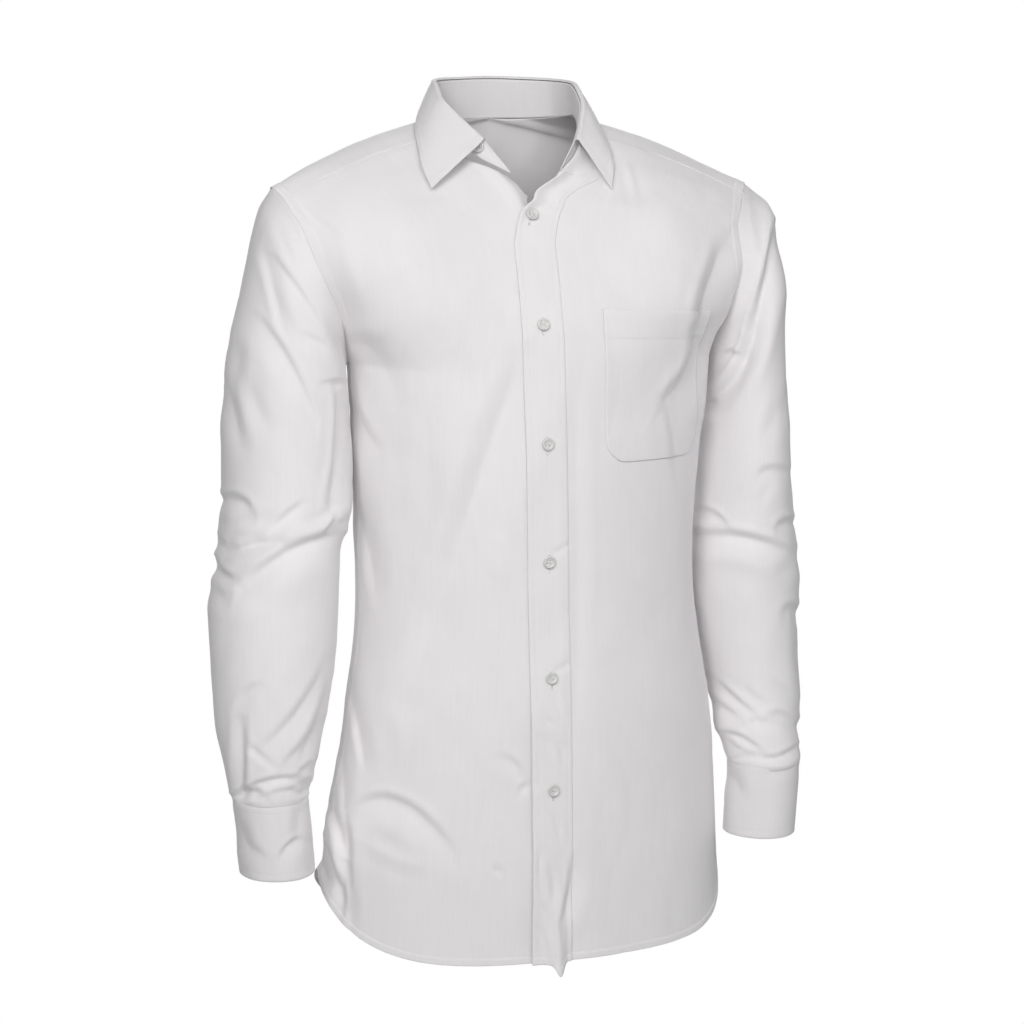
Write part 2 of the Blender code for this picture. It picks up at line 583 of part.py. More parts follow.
def make_sleeve_plackets(cloth):
    """The band over the slit, with a pointed top, on the back of each sleeve."""
    for side in ("right", "left"):
        points, normal, below = sleeve_panel(side)
        lengths = below[-1] - below
        whole = np.flatnonzero(lengths < SLIT_BAND_LENGTH - SLIT_BAND_POINT)
        tip = SLIT_BAND_LENGTH - np.array([0, SLIT_BAND_POINT])
        tip = np.interp(tip, lengths[::-1], np.arange(len(below))[::-1])
        at_row = np.concatenate([tip, whole])
        at_row[-1] -= 0.03
        middle = (180 - CUFF_OPENING_TURN) / 360 * SIDES_OF_SLEEVE
        side_size = np.linalg.norm(points[:, int(middle) + 1] - points[:, int(middle)], axis=1)
        half = SLIT_BAND_WIDTH / 2 / np.interp(at_row, np.arange(len(below)), side_size)
        half[0] *= 0.15
        at_column = middle + half[:, None] * np.array([[-1, 0, 1]])
        at_row = np.broadcast_to(at_row[:, None], at_column.shape)
        out = read_grid(normal, at_row, at_column)
        outer = read_grid(points, at_row, at_column) + (LAYER + 0.4) * out
        add_sheet("sleeve_placket_" + side, outer, out, cloth, flip=side == "left")


def cuff_oval(side, turn, share, lift):
    """A point of a cuff: turn in radians, share from the seam (0) to the bottom edge (1)."""
    sign = 1 if side == "left" else -1
    seam = dict(zip(SLEEVE_COLUMNS, SLEEVE_RINGS[side][-1]))
    half_width = (seam["outer_x"] - seam["inner_x"]) / 2 - 1 + lift
    half_depth = seam["half_depth"] - 1 + lift
    middle_x = (seam["outer_x"] + seam["inner_x"]) / 2 - CUFF_LEAN * share
    x = sign * (middle_x + half_width * np.cos(turn))
    y = seam["mid_y"] - 2 * share - half_depth * np.sin(turn)
    z = seam["outer_z"] - 2 * SEAM - CUFF_HEIGHT * share + 0 * turn
    return np.stack([x, y, z], -1)


def make_cuffs(cloth):
    """A band wrapped once round the wrist, whose end laps one layer out over its start."""
    for side in ("right", "left"):
        start = math.radians(CUFF_OPENING_TURN) - CUFF_LAP / 2 / 38
        turn = np.linspace(start, start + 2 * math.pi + CUFF_LAP / 38, 30)
        climb = np.clip((turn - turn[-1] + 1.15) / 0.5, 0, 1)
        lift = CUFF_LIFT * climb * climb * (3 - 2 * climb)
        share = np.linspace(0, 1, 4)[:, None]
        points = cuff_oval(side, turn[None, :] + 0 * share, share, lift[None, :] + 0 * share)
        sign = 1 if side == "left" else -1
        add_sheet("cuff_" + side, points, sign * grid_normals(points), cloth, flip=side == "right")


def collar_rows(names, stations):
    """The collar's columns read at `stations` places, from the wearer's right end to the left end."""
    right = [dict(zip(COLLAR_COLUMNS, row)) for row in COLLAR_STATIONS["right"]]
    left = [dict(zip(COLLAR_COLUMNS, row)) for row in COLLAR_STATIONS["left"]]
    table = right + left[-2::-1]
    values = np.array([[row[name] for name in names] for row in table], float)
    fold = np.array([[row["fold_x"], row["fold_y"], row["fold_z"]] for row in table], float)
    run = np.concatenate([[0], np.cumsum(np.linalg.norm(np.diff(fold, axis=0), axis=1))])
    return smooth_through(run, values, np.linspace(0, run[-1], stations))


def make_stand(cloth):
    base = collar_rows(("base_x", "base_y", "base_z"), STATIONS_OF_COLLAR)
    fold = collar_rows(("fold_x", "fold_y", "fold_z"), STATIONS_OF_COLLAR)
    up = (fold - base) / np.linalg.norm(fold - base, axis=1, keepdims=True)
    over_lap = np.clip((base[:, :1] - 20) / 30, 0, 1) * np.clip((-40 - base[:, 1:2]) / 40, 0, 1)
    low, high = base + (1.9 + STAND_OVER_LAP * over_lap) * up, fold - 1.5 * up
    share = np.linspace(0, 1, 4)[:, None, None]
    points = low * (1 - share) + high * share
    add_sheet("collar_stand", points, -grid_normals(points), cloth, flip=True)


def make_leaf(cloth):
    """From the top of the stand the leaf turns over and falls to its edge."""
    fold = collar_rows(("fold_x", "fold_y", "fold_z"), STATIONS_OF_COLLAR)
    edge = collar_rows(("leaf_x", "leaf_y", "leaf_z"), STATIONS_OF_COLLAR)
    out = np.cross((0.0, 0.0, 1.0), np.gradient(fold, axis=0))
    out /= np.linalg.norm(out, axis=1, keepdims=True)
    up = np.array([0.0, 0.0, 1.0])
    rows = [fold + share * (edge - fold) + away * out + rise * up for share, away, rise in LEAF_PROFILE]
    points = np.array(rows)
    add_sheet("collar_leaf", points, -grid_normals(points), cloth, flip=True)


def add_button(name, place, normal, material):
    """A turned disc with a raised rim and a dished face, axis along `normal`, resting on `place`."""
    radius, height = BUTTON_DIAMETER / 2, BUTTON_THICKNESS
    profile = (
        (0.55 * radius, 0), (0.85 * radius, 0.25 * height), (radius, 0.6 * height), (0.93 * radius, height),
        (0.72 * radius, height), (0.6 * radius, 0.72 * height),
    )
    sides = 12
    turn = np.linspace(0, 2 * math.pi, sides, endpoint=False)
    points = [(r * np.cos(turn), r * np.sin(turn), np.full(sides, h)) for r, h in profile]
    points = np.concatenate([np.stack(ring, -1) for ring in points])
    faces = grid_faces(len(profile), sides, closed=True)
    faces.append(tuple(range(sides))[::-1])
    faces.append(tuple(range((len(profile) - 1) * sides, len(profile) * sides)))
    normal = np.asarray(normal) / np.linalg.norm(normal)
    side = np.cross((0.0, 0.0, 1.0), normal)
    side /= np.linalg.norm(side)
    turned = points @ np.array([side, np.cross(normal, side), normal])
    return add_object(name, turned + np.asarray(place) + normal * GAP, faces, material)


def make_buttons(resin):
    rows, points, normal = front_panel("left")
    for number, level in enumerate(BUTTON_LEVELS, 1):
        at_row = np.interp(row_at_level(np.array([level])), rows, np.arange(len(rows)))
        at_column = -3 * opening_start("left", row_at_level(np.array([level])))[0] / PLACKET_WIDTH
        out = read_grid(normal, at_row, at_column)[0]
        place = read_grid(points, at_row, at_column)[0] + (LAYER + 0.25) * out
        add_button(f"button_front_{number}", place, out, resin)
    base = collar_rows(("base_x", "base_y", "base_z"), STATIONS_OF_COLLAR)
    fold = collar_rows(("fold_x", "fold_y", "fold_z"), STATIONS_OF_COLLAR)
    at = STAND_BUTTON_STATION
    out = np.cross(fold[at] - base[at], base[at + 1] - base[at - 1])
    add_button("button_stand", (base[at] * 0.6 + fold[at] * 0.4), out * -np.sign(out[1]), resin)
    for side in ("right", "left"):
        sign = 1 if side == "left" else -1
        turn = np.radians(CUFF_OPENING_TURN + np.array([-2.0, 0, 2.0]))
        patch = cuff_oval(side, turn, 0.5, CUFF_LIFT)
        run = (patch[2] - patch[0]) * sign
        add_button(f"button_cuff_{side}", patch[1], (-run[1], run[0], 0.0), resin)


clear_scene()
white_cotton = cloth_material("white_cotton", (0.86, 0.86, 0.86), 0.85)
white_resin = cloth_material("white_resin", (0.9, 0.9, 0.88), 0.3)
make_fronts(white_cotton)
make_placket(white_cotton)
make_pocket(white_cotton)
make_back(white_cotton)
make_yoke(white_cotton)
make_sleeves(white_cotton)
make_sleeve_plackets(white_cotton)
make_cuffs(white_cotton)
make_stand(white_cotton)
make_leaf(white_cotton)
make_buttons(white_resin)
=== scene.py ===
"""A long sleeve dress shirt, filled out as if it were worn, with nobody in it.

Metres, +Z up, the front faces -Y, the wearer's left is +X, the origin is the nape. Sizes in the tables are
in millimetres and degrees. Each panel is one strip of the body surface or one tube of a sleeve, as cut and
sewn, and its creases are laid into it before it gets its thickness.
"""

import math

import bpy
import numpy as np
from mathutils import Matrix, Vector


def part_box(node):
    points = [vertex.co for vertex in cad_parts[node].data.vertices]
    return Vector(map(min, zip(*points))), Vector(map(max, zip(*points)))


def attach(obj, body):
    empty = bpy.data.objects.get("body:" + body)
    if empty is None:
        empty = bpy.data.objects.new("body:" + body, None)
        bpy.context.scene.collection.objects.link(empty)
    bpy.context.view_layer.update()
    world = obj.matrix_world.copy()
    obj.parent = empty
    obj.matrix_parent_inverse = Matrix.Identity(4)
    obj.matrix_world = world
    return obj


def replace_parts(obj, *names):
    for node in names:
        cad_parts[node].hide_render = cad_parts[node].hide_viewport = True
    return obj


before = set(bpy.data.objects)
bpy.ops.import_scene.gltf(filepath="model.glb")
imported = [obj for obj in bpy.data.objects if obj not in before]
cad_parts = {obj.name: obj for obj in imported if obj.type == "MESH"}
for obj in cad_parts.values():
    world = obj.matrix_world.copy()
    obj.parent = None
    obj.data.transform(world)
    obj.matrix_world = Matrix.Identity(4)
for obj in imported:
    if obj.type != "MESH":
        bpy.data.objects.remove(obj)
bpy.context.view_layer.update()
MM = 0.001
SIDES = ("right", "left")  # of the wearer
SIGN = {"left": 1, "right": -1}  # of x there

# ---- Camera: in front of the wearer's right side at chest height, looking slightly down, with a lens long
# enough to keep the shirt's proportions.
CAMERA_PLACE = np.array([-634.0, -2272.9, -47.5])
CAMERA_AZIMUTH, CAMERA_ELEVATION, CAMERA_ROLL = -16.074, 5.848, 0.45
LENS, SENSOR, FRAME_DROP = 86.24, 36, -0.0898
VIEW_PLANE = 2300  # how far in front of the camera the plane lies in which creases are placed


def camera_axes():
    """The camera's right, up and back directions: back from two angles, right level, turned by the roll."""
    azimuth, elevation, roll = np.radians([CAMERA_AZIMUTH, CAMERA_ELEVATION, CAMERA_ROLL])
    back = np.array([math.sin(azimuth), -math.cos(azimuth), 0]) * math.cos(elevation)
    back[2] = math.sin(elevation)
    level = np.cross((0, 0, 1), back)
    level /= np.linalg.norm(level)
    upright = np.cross(back, level)
    cos, sin = math.cos(roll), math.sin(roll)
    return level * cos - upright * sin, upright * cos + level * sin, back


RIGHTWARD, UPWARD, TO_CAMERA = camera_axes()
camera_data = bpy.data.cameras.new("camera")
camera_data.lens, camera_data.sensor_width, camera_data.shift_y = LENS, SENSOR, FRAME_DROP
camera = bpy.data.objects.new("camera", camera_data)
bpy.context.scene.collection.objects.link(camera)
camera_matrix = np.eye(4)
camera_matrix[:3, :4] = np.stack([RIGHTWARD, UPWARD, TO_CAMERA, CAMERA_PLACE * MM], axis=1)
camera.matrix_world = Matrix(camera_matrix.tolist())
bpy.context.scene.camera = camera

# ---- Studio: a white floor and surround, a large soft key from the upper left of the camera, and weaker
# fills from the front, the right and behind, so that the cloth darkens downwards and towards its sides.
FLOOR_LEVEL, FLOOR_RADIUS = -1.5, 14
SURROUND_SEEN, SURROUND_LIGHT = 1.0, 0.21
LIGHTS = (
    # name, place, aim, size across and up, power, colour
    ("key", (-1.3, -2.3, 1.0), (0, -0.1, -0.3), 1.2, 1.2, 34.5, (1, 0.99, 0.98)),
    ("upper front fill", (0.1, -2.6, 0.95), (0, -0.1, -0.3), 1.4, 1.2, 18.5, (1, 1, 0.99)),
    ("lower front fill", (-0.5, -3.0, -0.4), (0, -0.1, -0.4), 1.6, 1.4, 7.5, (0.99, 0.99, 1)),
    ("side fill", (2.3, -1.8, 0.5), (0, -0.1, -0.3), 1.4, 1.8, 6.5, (0.99, 0.99, 1)),
    ("back wall bounce", (0.6, 2.6, 0.8), (0, 0, -0.3), 2.2, 2.0, 48, (1, 1, 1)),
)


def seen_or_lighting(tree, seen, lighting, mix_type):
    """Mixes two shaders: the camera sees the first, and everything else is lit by the second."""
    mix = tree.nodes.new(mix_type)
    path = tree.nodes.new("ShaderNodeLightPath")
    tree.links.new(path.outputs["Is Camera Ray"], mix.inputs[0])
    tree.links.new(lighting.outputs[0], mix.inputs[1])
    tree.links.new(seen.outputs[0], mix.inputs[2])
    return mix


def light_studio():
    """The world and the lights. The camera sees the world white, and the cloth is lit by it more weakly."""
    world = bpy.data.worlds.new("white surround")
    bpy.context.scene.world = world
    world.use_nodes = True
    tree = world.node_tree
    seen, lighting = tree.nodes["Background"], tree.nodes.new("ShaderNodeBackground")
    seen.inputs["Strength"].default_value = SURROUND_SEEN
    seen.inputs["Color"].default_value = (1, 1, 1, 1)
    lighting.inputs["Color"].default_value = (0.97, 0.985, 1, 1)
    lighting.inputs["Strength"].default_value = SURROUND_LIGHT
    mix = seen_or_lighting(tree, seen, lighting, "ShaderNodeMixShader")
    tree.links.new(mix.outputs[0], tree.nodes["World Output"].inputs["Surface"])
    for name, place, aim, width, height, power, colour in LIGHTS:
        data = bpy.data.lights.new(name, "AREA")
        data.shape, data.size, data.size_y = "RECTANGLE", width, height
        data.energy, data.color = power, colour
        light = bpy.data.objects.new(name, data)
        back = np.array(place) - np.array(aim)
        back /= np.linalg.norm(back)
        side = np.cross((0, 0, 1), back)
        side /= np.linalg.norm(side)
        matrix = np.eye(4)
        matrix[:3, :4] = np.stack([side, np.cross(back, side), back, place], axis=1)
        light.matrix_world = Matrix(matrix.tolist())
        bpy.context.scene.collection.objects.link(light)


def lay_floor():
    """A round floor under the shirt, which looks as white as the surround."""
    material = bpy.data.materials.new("white floor")
    material.use_nodes = True
    tree = material.node_tree
    seen = tree.nodes.new("ShaderNodeEmission")
    seen.inputs["Strength"].default_value = SURROUND_SEEN
    lighting = tree.nodes["Principled BSDF"]
    lighting.inputs["Base Color"].default_value = (0.5, 0.5, 0.5, 1)
    lighting.inputs["Roughness"].default_value = 0.9
    mix = seen_or_lighting(tree, seen, lighting, "ShaderNodeMixShader")
    tree.links.new(mix.outputs[0], tree.nodes["Material Output"].inputs["Surface"])
    turn = np.linspace(0, 2 * math.pi, 64, endpoint=False)
    corners = np.stack([np.cos(turn), np.sin(turn), 0 * turn], -1) * FLOOR_RADIUS + (0, 0, FLOOR_LEVEL)
    mesh = bpy.data.meshes.new("floor")
    mesh.from_pydata(corners.tolist(), [], [tuple(range(64))])
    mesh.materials.append(material)
    floor = bpy.data.objects.new("floor", mesh)
    bpy.context.scene.collection.objects.link(floor)


light_studio()
lay_floor()
bpy.context.scene.view_settings.view_transform = "Standard"

# ---- Two fronts: cotton poplin, cut from the yoke seam to a curved shirt-tail hem. The left one laps over
# the right one by the width of the placket. Armhole and side edges are felled, the hem is turned up twice.
BODY_COLUMNS = (
    "name", "edge_right", "edge_left", "mid_y", "mid_z",
    "side_x", "side_shift", "side_y", "side_z", "start_turn", "end_turn", "bow",
    "rise_right", "rise_left",
)
BODY_ROWS = (
    ("front hem", 0, 0, -188, -768, 196, 1, -84, -691, 0, 90, 0, 3.8, 7),
    ("front hip", 0, 0, -193, -660, 188, 5, -82, -639, 0, 90, 0, 2.4, 3),
    ("front seat", 0, 0, -193, -557, 176.5, 11.5, -80, -552, 0, 90, 0, 1.2, 1.4),
    ("front waist", 0, 0, -187, -436, 162, 11.5, -78, -436, 0, 90, 0, 1, 1),
    ("front rib", 0, 0, -184, -315, 167, 13, -74, -315, 0, 90, 0, 1, 1),
    ("front underarm", 0, 0, -178, -230, 174, 19, -71, -222, 0, 88, 0, 1, 1),
    ("front armhole low", 0, 0, -175, -201, 178, 17, -86, -206, 0, 80, 0, 1, 1),
    ("front chest", 0, 0, -168, -168, 185.5, 15.5, -111, -180, 0, 61, 0, 1, 1),
    ("front bust", 0, 0, -152, -119, 200, 8, -130, -139, 0, 30, 0, 1, 1),
    ("front opening", 0, 0, -133, -75, 207, 0, -122, -99, 0, 22, 0, 1, 1),
    ("front neck end", -13, 33, -122, -52, 214, 0, -112, -85, 4, 16, 4, 1, 1),
    ("front neck", -43, 53, -106, -35, 217, 0, -106, -78, 2, 8, 7, 1, 1),
    ("front yoke seam", -64, 63, -84, -15, 220, 0, -100, -72, -4, -2, 7, 1, 1),
    ("shoulder", -67, 67, -56, 0, 227, 0, -86, -63, -6, -12, 6, 1, 1),
    ("shoulder back", -63, 63, -36, 1, 225, 0, -70, -65, -6, -16, 6, 1, 1),
    ("nape side", -37, 37, -8, 0, 220, 0, -54, -74, -4, -20, 7, 1, 1),
    ("nape", 0, 0, 0, 0, 215, 0, -42, -84, 0, -22, 10, 1, 1),
    ("yoke middle", 0, 0, 14, -47, 208, 0, -28, -97, 0, -24, 4, 1, 1),
    ("back yoke seam", 0, 0, 24, -93, 202, 0, -16, -115, 0, -28, 0, 1, 1),
    ("back blade", 0, 0, 34, -147, 193, 0, -10, -149, 0, -36, 0, 1, 1),
    ("back armhole low", 0, 0, 39, -196, 178.5, 11.5, -28, -196, 0, -62, 0, 1, 1),
    ("back underarm", 0, 0, 41, -235, 174, 19, -71, -222, 0, -90, 0, 1, 1),
    ("back rib", 0, 0, 38, -315, 167, 13, -74, -315, 0, -90, 0, 1, 1),
    ("back waist", 0, 0, 28, -436, 162, 11.5, -78, -436, 0, -90, 0, 1, 1),
    ("back seat", 0, 0, 32, -557, 176.5, 11.5, -80, -552, 0, -90, 0, 1.2, 1.4),
    ("back hip", 0, 0, 34, -660, 188, 5, -82, -639, 0, -90, 0, 2.4, 3),
    ("back hem", 0, 0, 34, -803, 196, 1, -84, -691, 0, -90, 0, 1.7, 2.6),
)
ROW_NAMES = [row[0] for row in BODY_ROWS]
BODY = {
    column: np.array([float(row[k]) for row in BODY_ROWS])
    for k, column in enumerate(BODY_COLUMNS)
    if k
}
FULLNESS = 0.6  # how square a row's corner is, 0.55 for a round one
CLOTH = 0.6  # thickness of the poplin with its seams
LAP_LAYER = 1.7  # how far the left front lies over the right one
PLACKET_WIDTH = 38
# Each front's free edge: its distance along the row from the inner end at these heights, and lower down the
# first one. Below 0 it lies past the middle, so that the fronts lap, and they part at the neck.
OPENING_LEVELS = (-112, -87, -75, -63, -54)
OPENING_STARTS = {"left": (-19, -10, 3.7, 3, 0.3), "right": (-19, -8, -1, 0.3, 0.3)}
BAND_ENDS = (19, 27, 33.5, 37, 38.3)
FELL_WIDTH, FELL_HEIGHT = 8, 0.45
FELL_STITCH = FELL_WIDTH - 0.6
GROOVE = 1.1  # half width of the groove that a row of stitches pulls in
PLAN_SAMPLES, DENSE_ROWS = 97, 2000
HEM_DEPTH, HEM_HEIGHT = 6.5, 0.5
FRONT_STEP, BAND_COLUMNS, CHEST_COLUMNS = 2.9, 16, 92
EDGE_COLUMNS = 10
SEAM_GAP = 0.2
BODY_SEED = 11
UPWARDS = (-0.3, 0.95)  # the bank of a crease that lies this way is the steep one
LOWER_BANK, PUFF = 2.5, 0.28  # how much steep widens the lower bank, and the height of the puffed banks
CREASE_SAMPLES, CREASE_REACH = 15, 6

# Creases of the body. A crease runs from (u0, v0) past (u1, v1) to (u2, v2), in millimetres across and up
# the camera's plane. width is half its width, depth is below 0 for a trough, steep narrows its upper bank.
TORSO_CREASES = (
    (199, 165, 188, 126, 174, 75, 8, -5.2, 0.2),
    (174, 81, 167, 48, 145, 18, 8.5, -6.0, 0.3),
    (146, 19, 153, -19, 156, -56, 6, -2.2, 0.3),
    (167, -9, 171, -94, 173, -169, 8, -2.0, 0),
    (212, 136, 202, 70, 186, 5, 13, 6.0, 0),
    (-169, 176, -143, 122, -128, 70, 16, 3.2, 0),
    (-156, 82, -92, 64, -74, -56, 21, 3.0, 0),
    (64, 60, 125, 59, 188, 64, 27, 3.4, 0),
    (-152, 68, -129, 64, -107, 17, 8, -1.6, 0),
    (-152, 21, -143, -4, -128, -26, 7, -2.6, 0.3),
    (-77, 38, -78, -28, -75, -94, 9, -1.4, 0),
    (9, 54, -32, -61, -98, -263, 14, -6.2, 0.2),
    (-150, -69, -134, -131, -129, -169, 6, -2.4, 0.4),
    (-152, -253, -144, -298, -139, -326, 4, -2.6, 0.4),
    (-157, -373, -110, -358, -56, -405, 6.5, -4.2, 0.35),
    (-141, -392, -114, -409, -83, -418, 6, 1.2, 0),
    (-11, -316, 4, -325, 11, -344, 4.5, -2.4, 0.3),
    (7, -349, 12, -345, 18, -339, 3.5, -1.8, 0.2),
    (-17, -420, -14, -423, -10, -426, 3.5, -1.8, 0),
    (-160, -302, -158, -352, -154, -405, 3.5, -1.8, 0.3),
    (-170, -362, -164, -386, -158, -405, 4.2, -4.4, 0.3),
    (-179, -394, -170, -420, -158, -459, 4.5, -4.6, 0.2),
    (-156, -386, -157, -420, -161, -458, 4.5, -4.2, 0),
    (-152, -411, -152, -443, -151, -478, 3.5, -2.2, 0.2),
    (-184, -399, -180, -418, -173, -435, 4, -3.2, 0),
    (57, 47, 61, -131, 59, -300, 7, -1.3, 0),
    (-208, 206, -189, 192, -169, 176, 7, -2.0, 0.3),
    (-38, 257, -53, 241, -71, 222, 6.5, -3.2, 0.2),
    (88, 219, 81, 238, 71, 255, 6.5, -2.6, 0.2),
    (56, -414, 53, -445, 45, -473, 4.5, -3.4, 0.3),
    (101, 238, 108, 220, 113, 201, 4, -1.5, 0.2),
    (113, 238, 118, 221, 121, 203, 4, -1.2, 0.2),
    (-39, 242, -16, 220, 0, 193, 6, -1.8, 0.3),
    (38, -126, 47, -120, 55, -115, 3, -0.9, 0),
    (39, -235, 47, -231, 54, -227, 3, -0.9, 0),
    (34, -253, 41, -263, 45, -278, 3, -1.0, 0),
    (27, -274, 34, -283, 41, -285, 3, -1.0, 0),
    (23, -295, 31, -302, 36, -314, 3, -1.2, 0),
    (41, -305, 46, -311, 48, -326, 3, -1.0, 0),
    (35, -368, 41, -377, 43, -392, 3, -1.2, 0),
    (26, -403, 24, -422, 27, -443, 3, -1.2, 0),
    (35, -420, 38, -435, 37, -450, 3, -1.4, 0),
    (27, -455, 32, -464, 34, -478, 3, -1.2, 0),
    (23, -473, 27, -483, 29, -495, 2.5, -1.0, 0),
)
# The same seen from straight behind: u is x and v is z.
BACK_CREASES = (
    (-120, -170, -62, -305, -60, -520, 10.1, -4.6, 0.3),
    (122, -175, 58, -320, 66, -500, 9.4, -4.6, 0.3),
    (-150, -560, -62, -592, 20, -562, 7.9, -4.4, 0.4),
    (150, -552, 84, -606, 12, -600, 7.2, -4.4, 0.3),
    (-20, -400, -8, -470, -34, -560, 7.2, -2.8, 0.2),
    (30, -640, 22, -700, 34, -770, 7.9, -3.2, 0.2),
    (-96, -640, -104, -700, -88, -760, 7.2, -3, 0.2),
    (-175, -215, -140, -232, -96, -226, 4.7, -3.9, 0.4),
    (172, -215, 132, -240, 92, -230, 4.7, -3.9, 0.4),
    (-60, -150, -10, -168, 48, -152, 7.2, -2.1, 0.2),
    (-162, -250, -138, -300, -120, -372, 5.8, -3.7, 0.3),
    (166, -252, 150, -310, 128, -366, 5.8, -3.7, 0.3),
    (-140, -430, -92, -446, -40, -438, 5.8, -2.8, 0.4),
    (132, -420, 96, -442, 52, -436, 5, -2.5, 0.4),
)


def smooth_through(knots, values, at):
    """A cubic through values at knots that never overshoots them, read at the places in `at`."""
    knots = np.asarray(knots, float)
    values = np.asarray(values, float)
    at = np.asarray(at, float)
    steps = np.diff(knots).reshape((-1,) + (1,) * (values.ndim - 1))
    slopes = np.diff(values, axis=0) / steps
    before, after = slopes[:-1], slopes[1:]
    same_way = before * after > 0
    total = np.where(same_way, before + after, 1.0)
    tangents = np.concatenate([slopes[:1], np.where(same_way, 2 * before * after / total, 0.0), slopes[-1:]])
    part = np.clip(np.searchsorted(knots, at, side="right") - 1, 0, len(knots) - 2)
    step = (knots[part + 1] - knots[part]).reshape(at.shape + (1,) * (values.ndim - 1))
    t = ((at - knots[part]).reshape(step.shape)) / step
    low, high = values[part], values[part + 1]
    return (
        low * (1 + 2 * t) * (1 - t) ** 2
        + high * t * t * (3 - 2 * t)
        + step * (tangents[part] * t * (1 - t) ** 2 - tangents[part + 1] * t * t * (1 - t))
    )


def ease(value, low, high):
    """0 below low, 1 above high and a smooth cubic between."""
    t = np.clip((value - low) / (high - low), 0, 1)
    return t * t * (3 - 2 * t)


def bell(value, half_width):
    """1 at 0, falling smoothly to nothing at about twice the half width on both sides."""
    return np.exp(-((value / half_width) ** 2))


def lengths_along(points):
    """The length along each column of points from its first row, or along a line from its first point."""
    steps = np.linalg.norm(np.diff(points, axis=0), axis=-1)
    return np.concatenate([np.zeros((1, *steps.shape[1:])), np.cumsum(steps, axis=0)])


def row_of(name):
    """The number of a named body row."""
    return ROW_NAMES.index(name)


FRONT_UNDERARM, BACK_UNDERARM = row_of("front underarm"), row_of("back underarm")


def row_at_level(level):
    """The front's row, as a number that may lie between two, whose inner end is at this height."""
    rows = np.linspace(row_of("front hem"), row_of("front yoke seam"), DENSE_ROWS)
    heights = smooth_through(np.arange(len(BODY_ROWS)), BODY["mid_z"], rows)
    order = np.argsort(heights)
    return np.interp(level, heights[order], rows[order])


def body_column(name, row):
    """A column of the table at any row. The outer ends turn sharply at the underarm, so they stop there."""
    every = np.arange(len(BODY_ROWS))
    if not name.startswith("side"):
        return smooth_through(every, BODY[name], row)
    corners = (0, FRONT_UNDERARM, BACK_UNDERARM, len(BODY_ROWS) - 1)
    out = np.empty_like(row)
    for low, high in zip(corners[:-1], corners[1:]):
        inside = (row >= low) & (row <= high)
        span = slice(low, high + 1)
        out[inside] = smooth_through(every[span], BODY[name][span], row[inside])
    return out


def place_in(run, at):
    """Where each value of `at` (rows, n) lies in the rising rows of `run`, as a fractional column."""
    low = np.clip((run[:, None, :] <= at[:, :, None]).sum(-1) - 1, 0, run.shape[1] - 2)
    before, after = np.take_along_axis(run, low, 1), np.take_along_axis(run, low + 1, 1)
    return low + (at - before) / (after - before)


def half_row(side, row):
    """A row of half a body: the corners of its Bezier curve in plan, and the run of lengths along it."""
    sign = SIGN[side]
    start = np.stack([body_column("edge_" + side, row), body_column("mid_y", row)], -1)
    half = body_column("side_x", row) + sign * body_column("side_shift", row)
    end = np.stack([sign * half, body_column("side_y", row)], -1)
    turns = [np.radians(body_column(name, row)) for name in ("start_turn", "end_turn")]
    ways = [np.stack([sign * np.cos(turn), np.sin(turn)], -1) for turn in turns]
    reach = [FULLNESS * np.abs(way * (end - start)).sum(-1, keepdims=True) for way in ways]
    corners = np.stack([start, start + reach[0] * ways[0], end - reach[1] * ways[1], end], 1)
    dense = in_plan(corners, np.broadcast_to(np.linspace(0, 1, PLAN_SAMPLES), (len(row), PLAN_SAMPLES)))
    return corners, lengths_along(dense.swapaxes(0, 1)).T


def in_plan(corners, t):
    """Points of cubic Bezier curves: `corners` (rows, 4, 2) read at `t` (rows, n)."""
    weights = (1 - t) ** 3, 3 * t * (1 - t) ** 2, 3 * t * t * (1 - t), t**3
    return np.stack(weights, -1) @ corners


def half_body(side, row, along):
    """Points of half a body at a length along each row. The height goes from mid_z to side_z by a power of
    the share of the length, plus a bow."""
    corners, run = half_row(side, row)
    plan = in_plan(corners, place_in(run, along) / (run.shape[1] - 1))
    share = np.clip(along / run[:, -1:], 0, 1.2)
    low, high = body_column("mid_z", row)[:, None], body_column("side_z", row)[:, None]
    power, bow = body_column("rise_" + side, row)[:, None], body_column("bow", row)[:, None]
    height = low + (high - low) * share**power + bow * np.sin(math.pi * np.minimum(share, 1))
    return np.concatenate([plan, height[:, :, None]], axis=2)


def body_points(row, along):
    """Points of the body surface at a distance along each row from its inner end, to the wearer's left."""
    left, right = half_body("left", row, np.maximum(along, 0)), half_body("right", row, np.maximum(-along, 0))
    return np.where((along >= 0)[:, :, None], left, right)


def row_lengths(side, row):
    """The lengths of one side's half rows, from the middle to the side seam."""
    return half_row(side, np.asarray(row, float))[1][:, -1]


def unit(vectors):
    """The vectors at length 1."""
    return vectors / np.maximum(np.linalg.norm(vectors, axis=-1, keepdims=True), 1e-9)


def body_normals(row, along):
    """Unit normals of the body surface, from the slope along each row and from row to row."""
    forth = body_points(row, along + 0.5) - body_points(row, along - 0.5)
    low, high = np.maximum(row - 0.02, 0), np.minimum(row + 0.02, len(BODY_ROWS) - 1)
    return unit(np.cross(forth, body_points(high, along) - body_points(low, along)))


def as_seen(points):
    """Millimetres across and up the camera's plane: each point cast on it along its line of sight."""
    away = points - CAMERA_PLACE
    scale = VIEW_PLANE / -(away @ TO_CAMERA)
    return away @ RIGHTWARD * scale, away @ UPWARD * scale


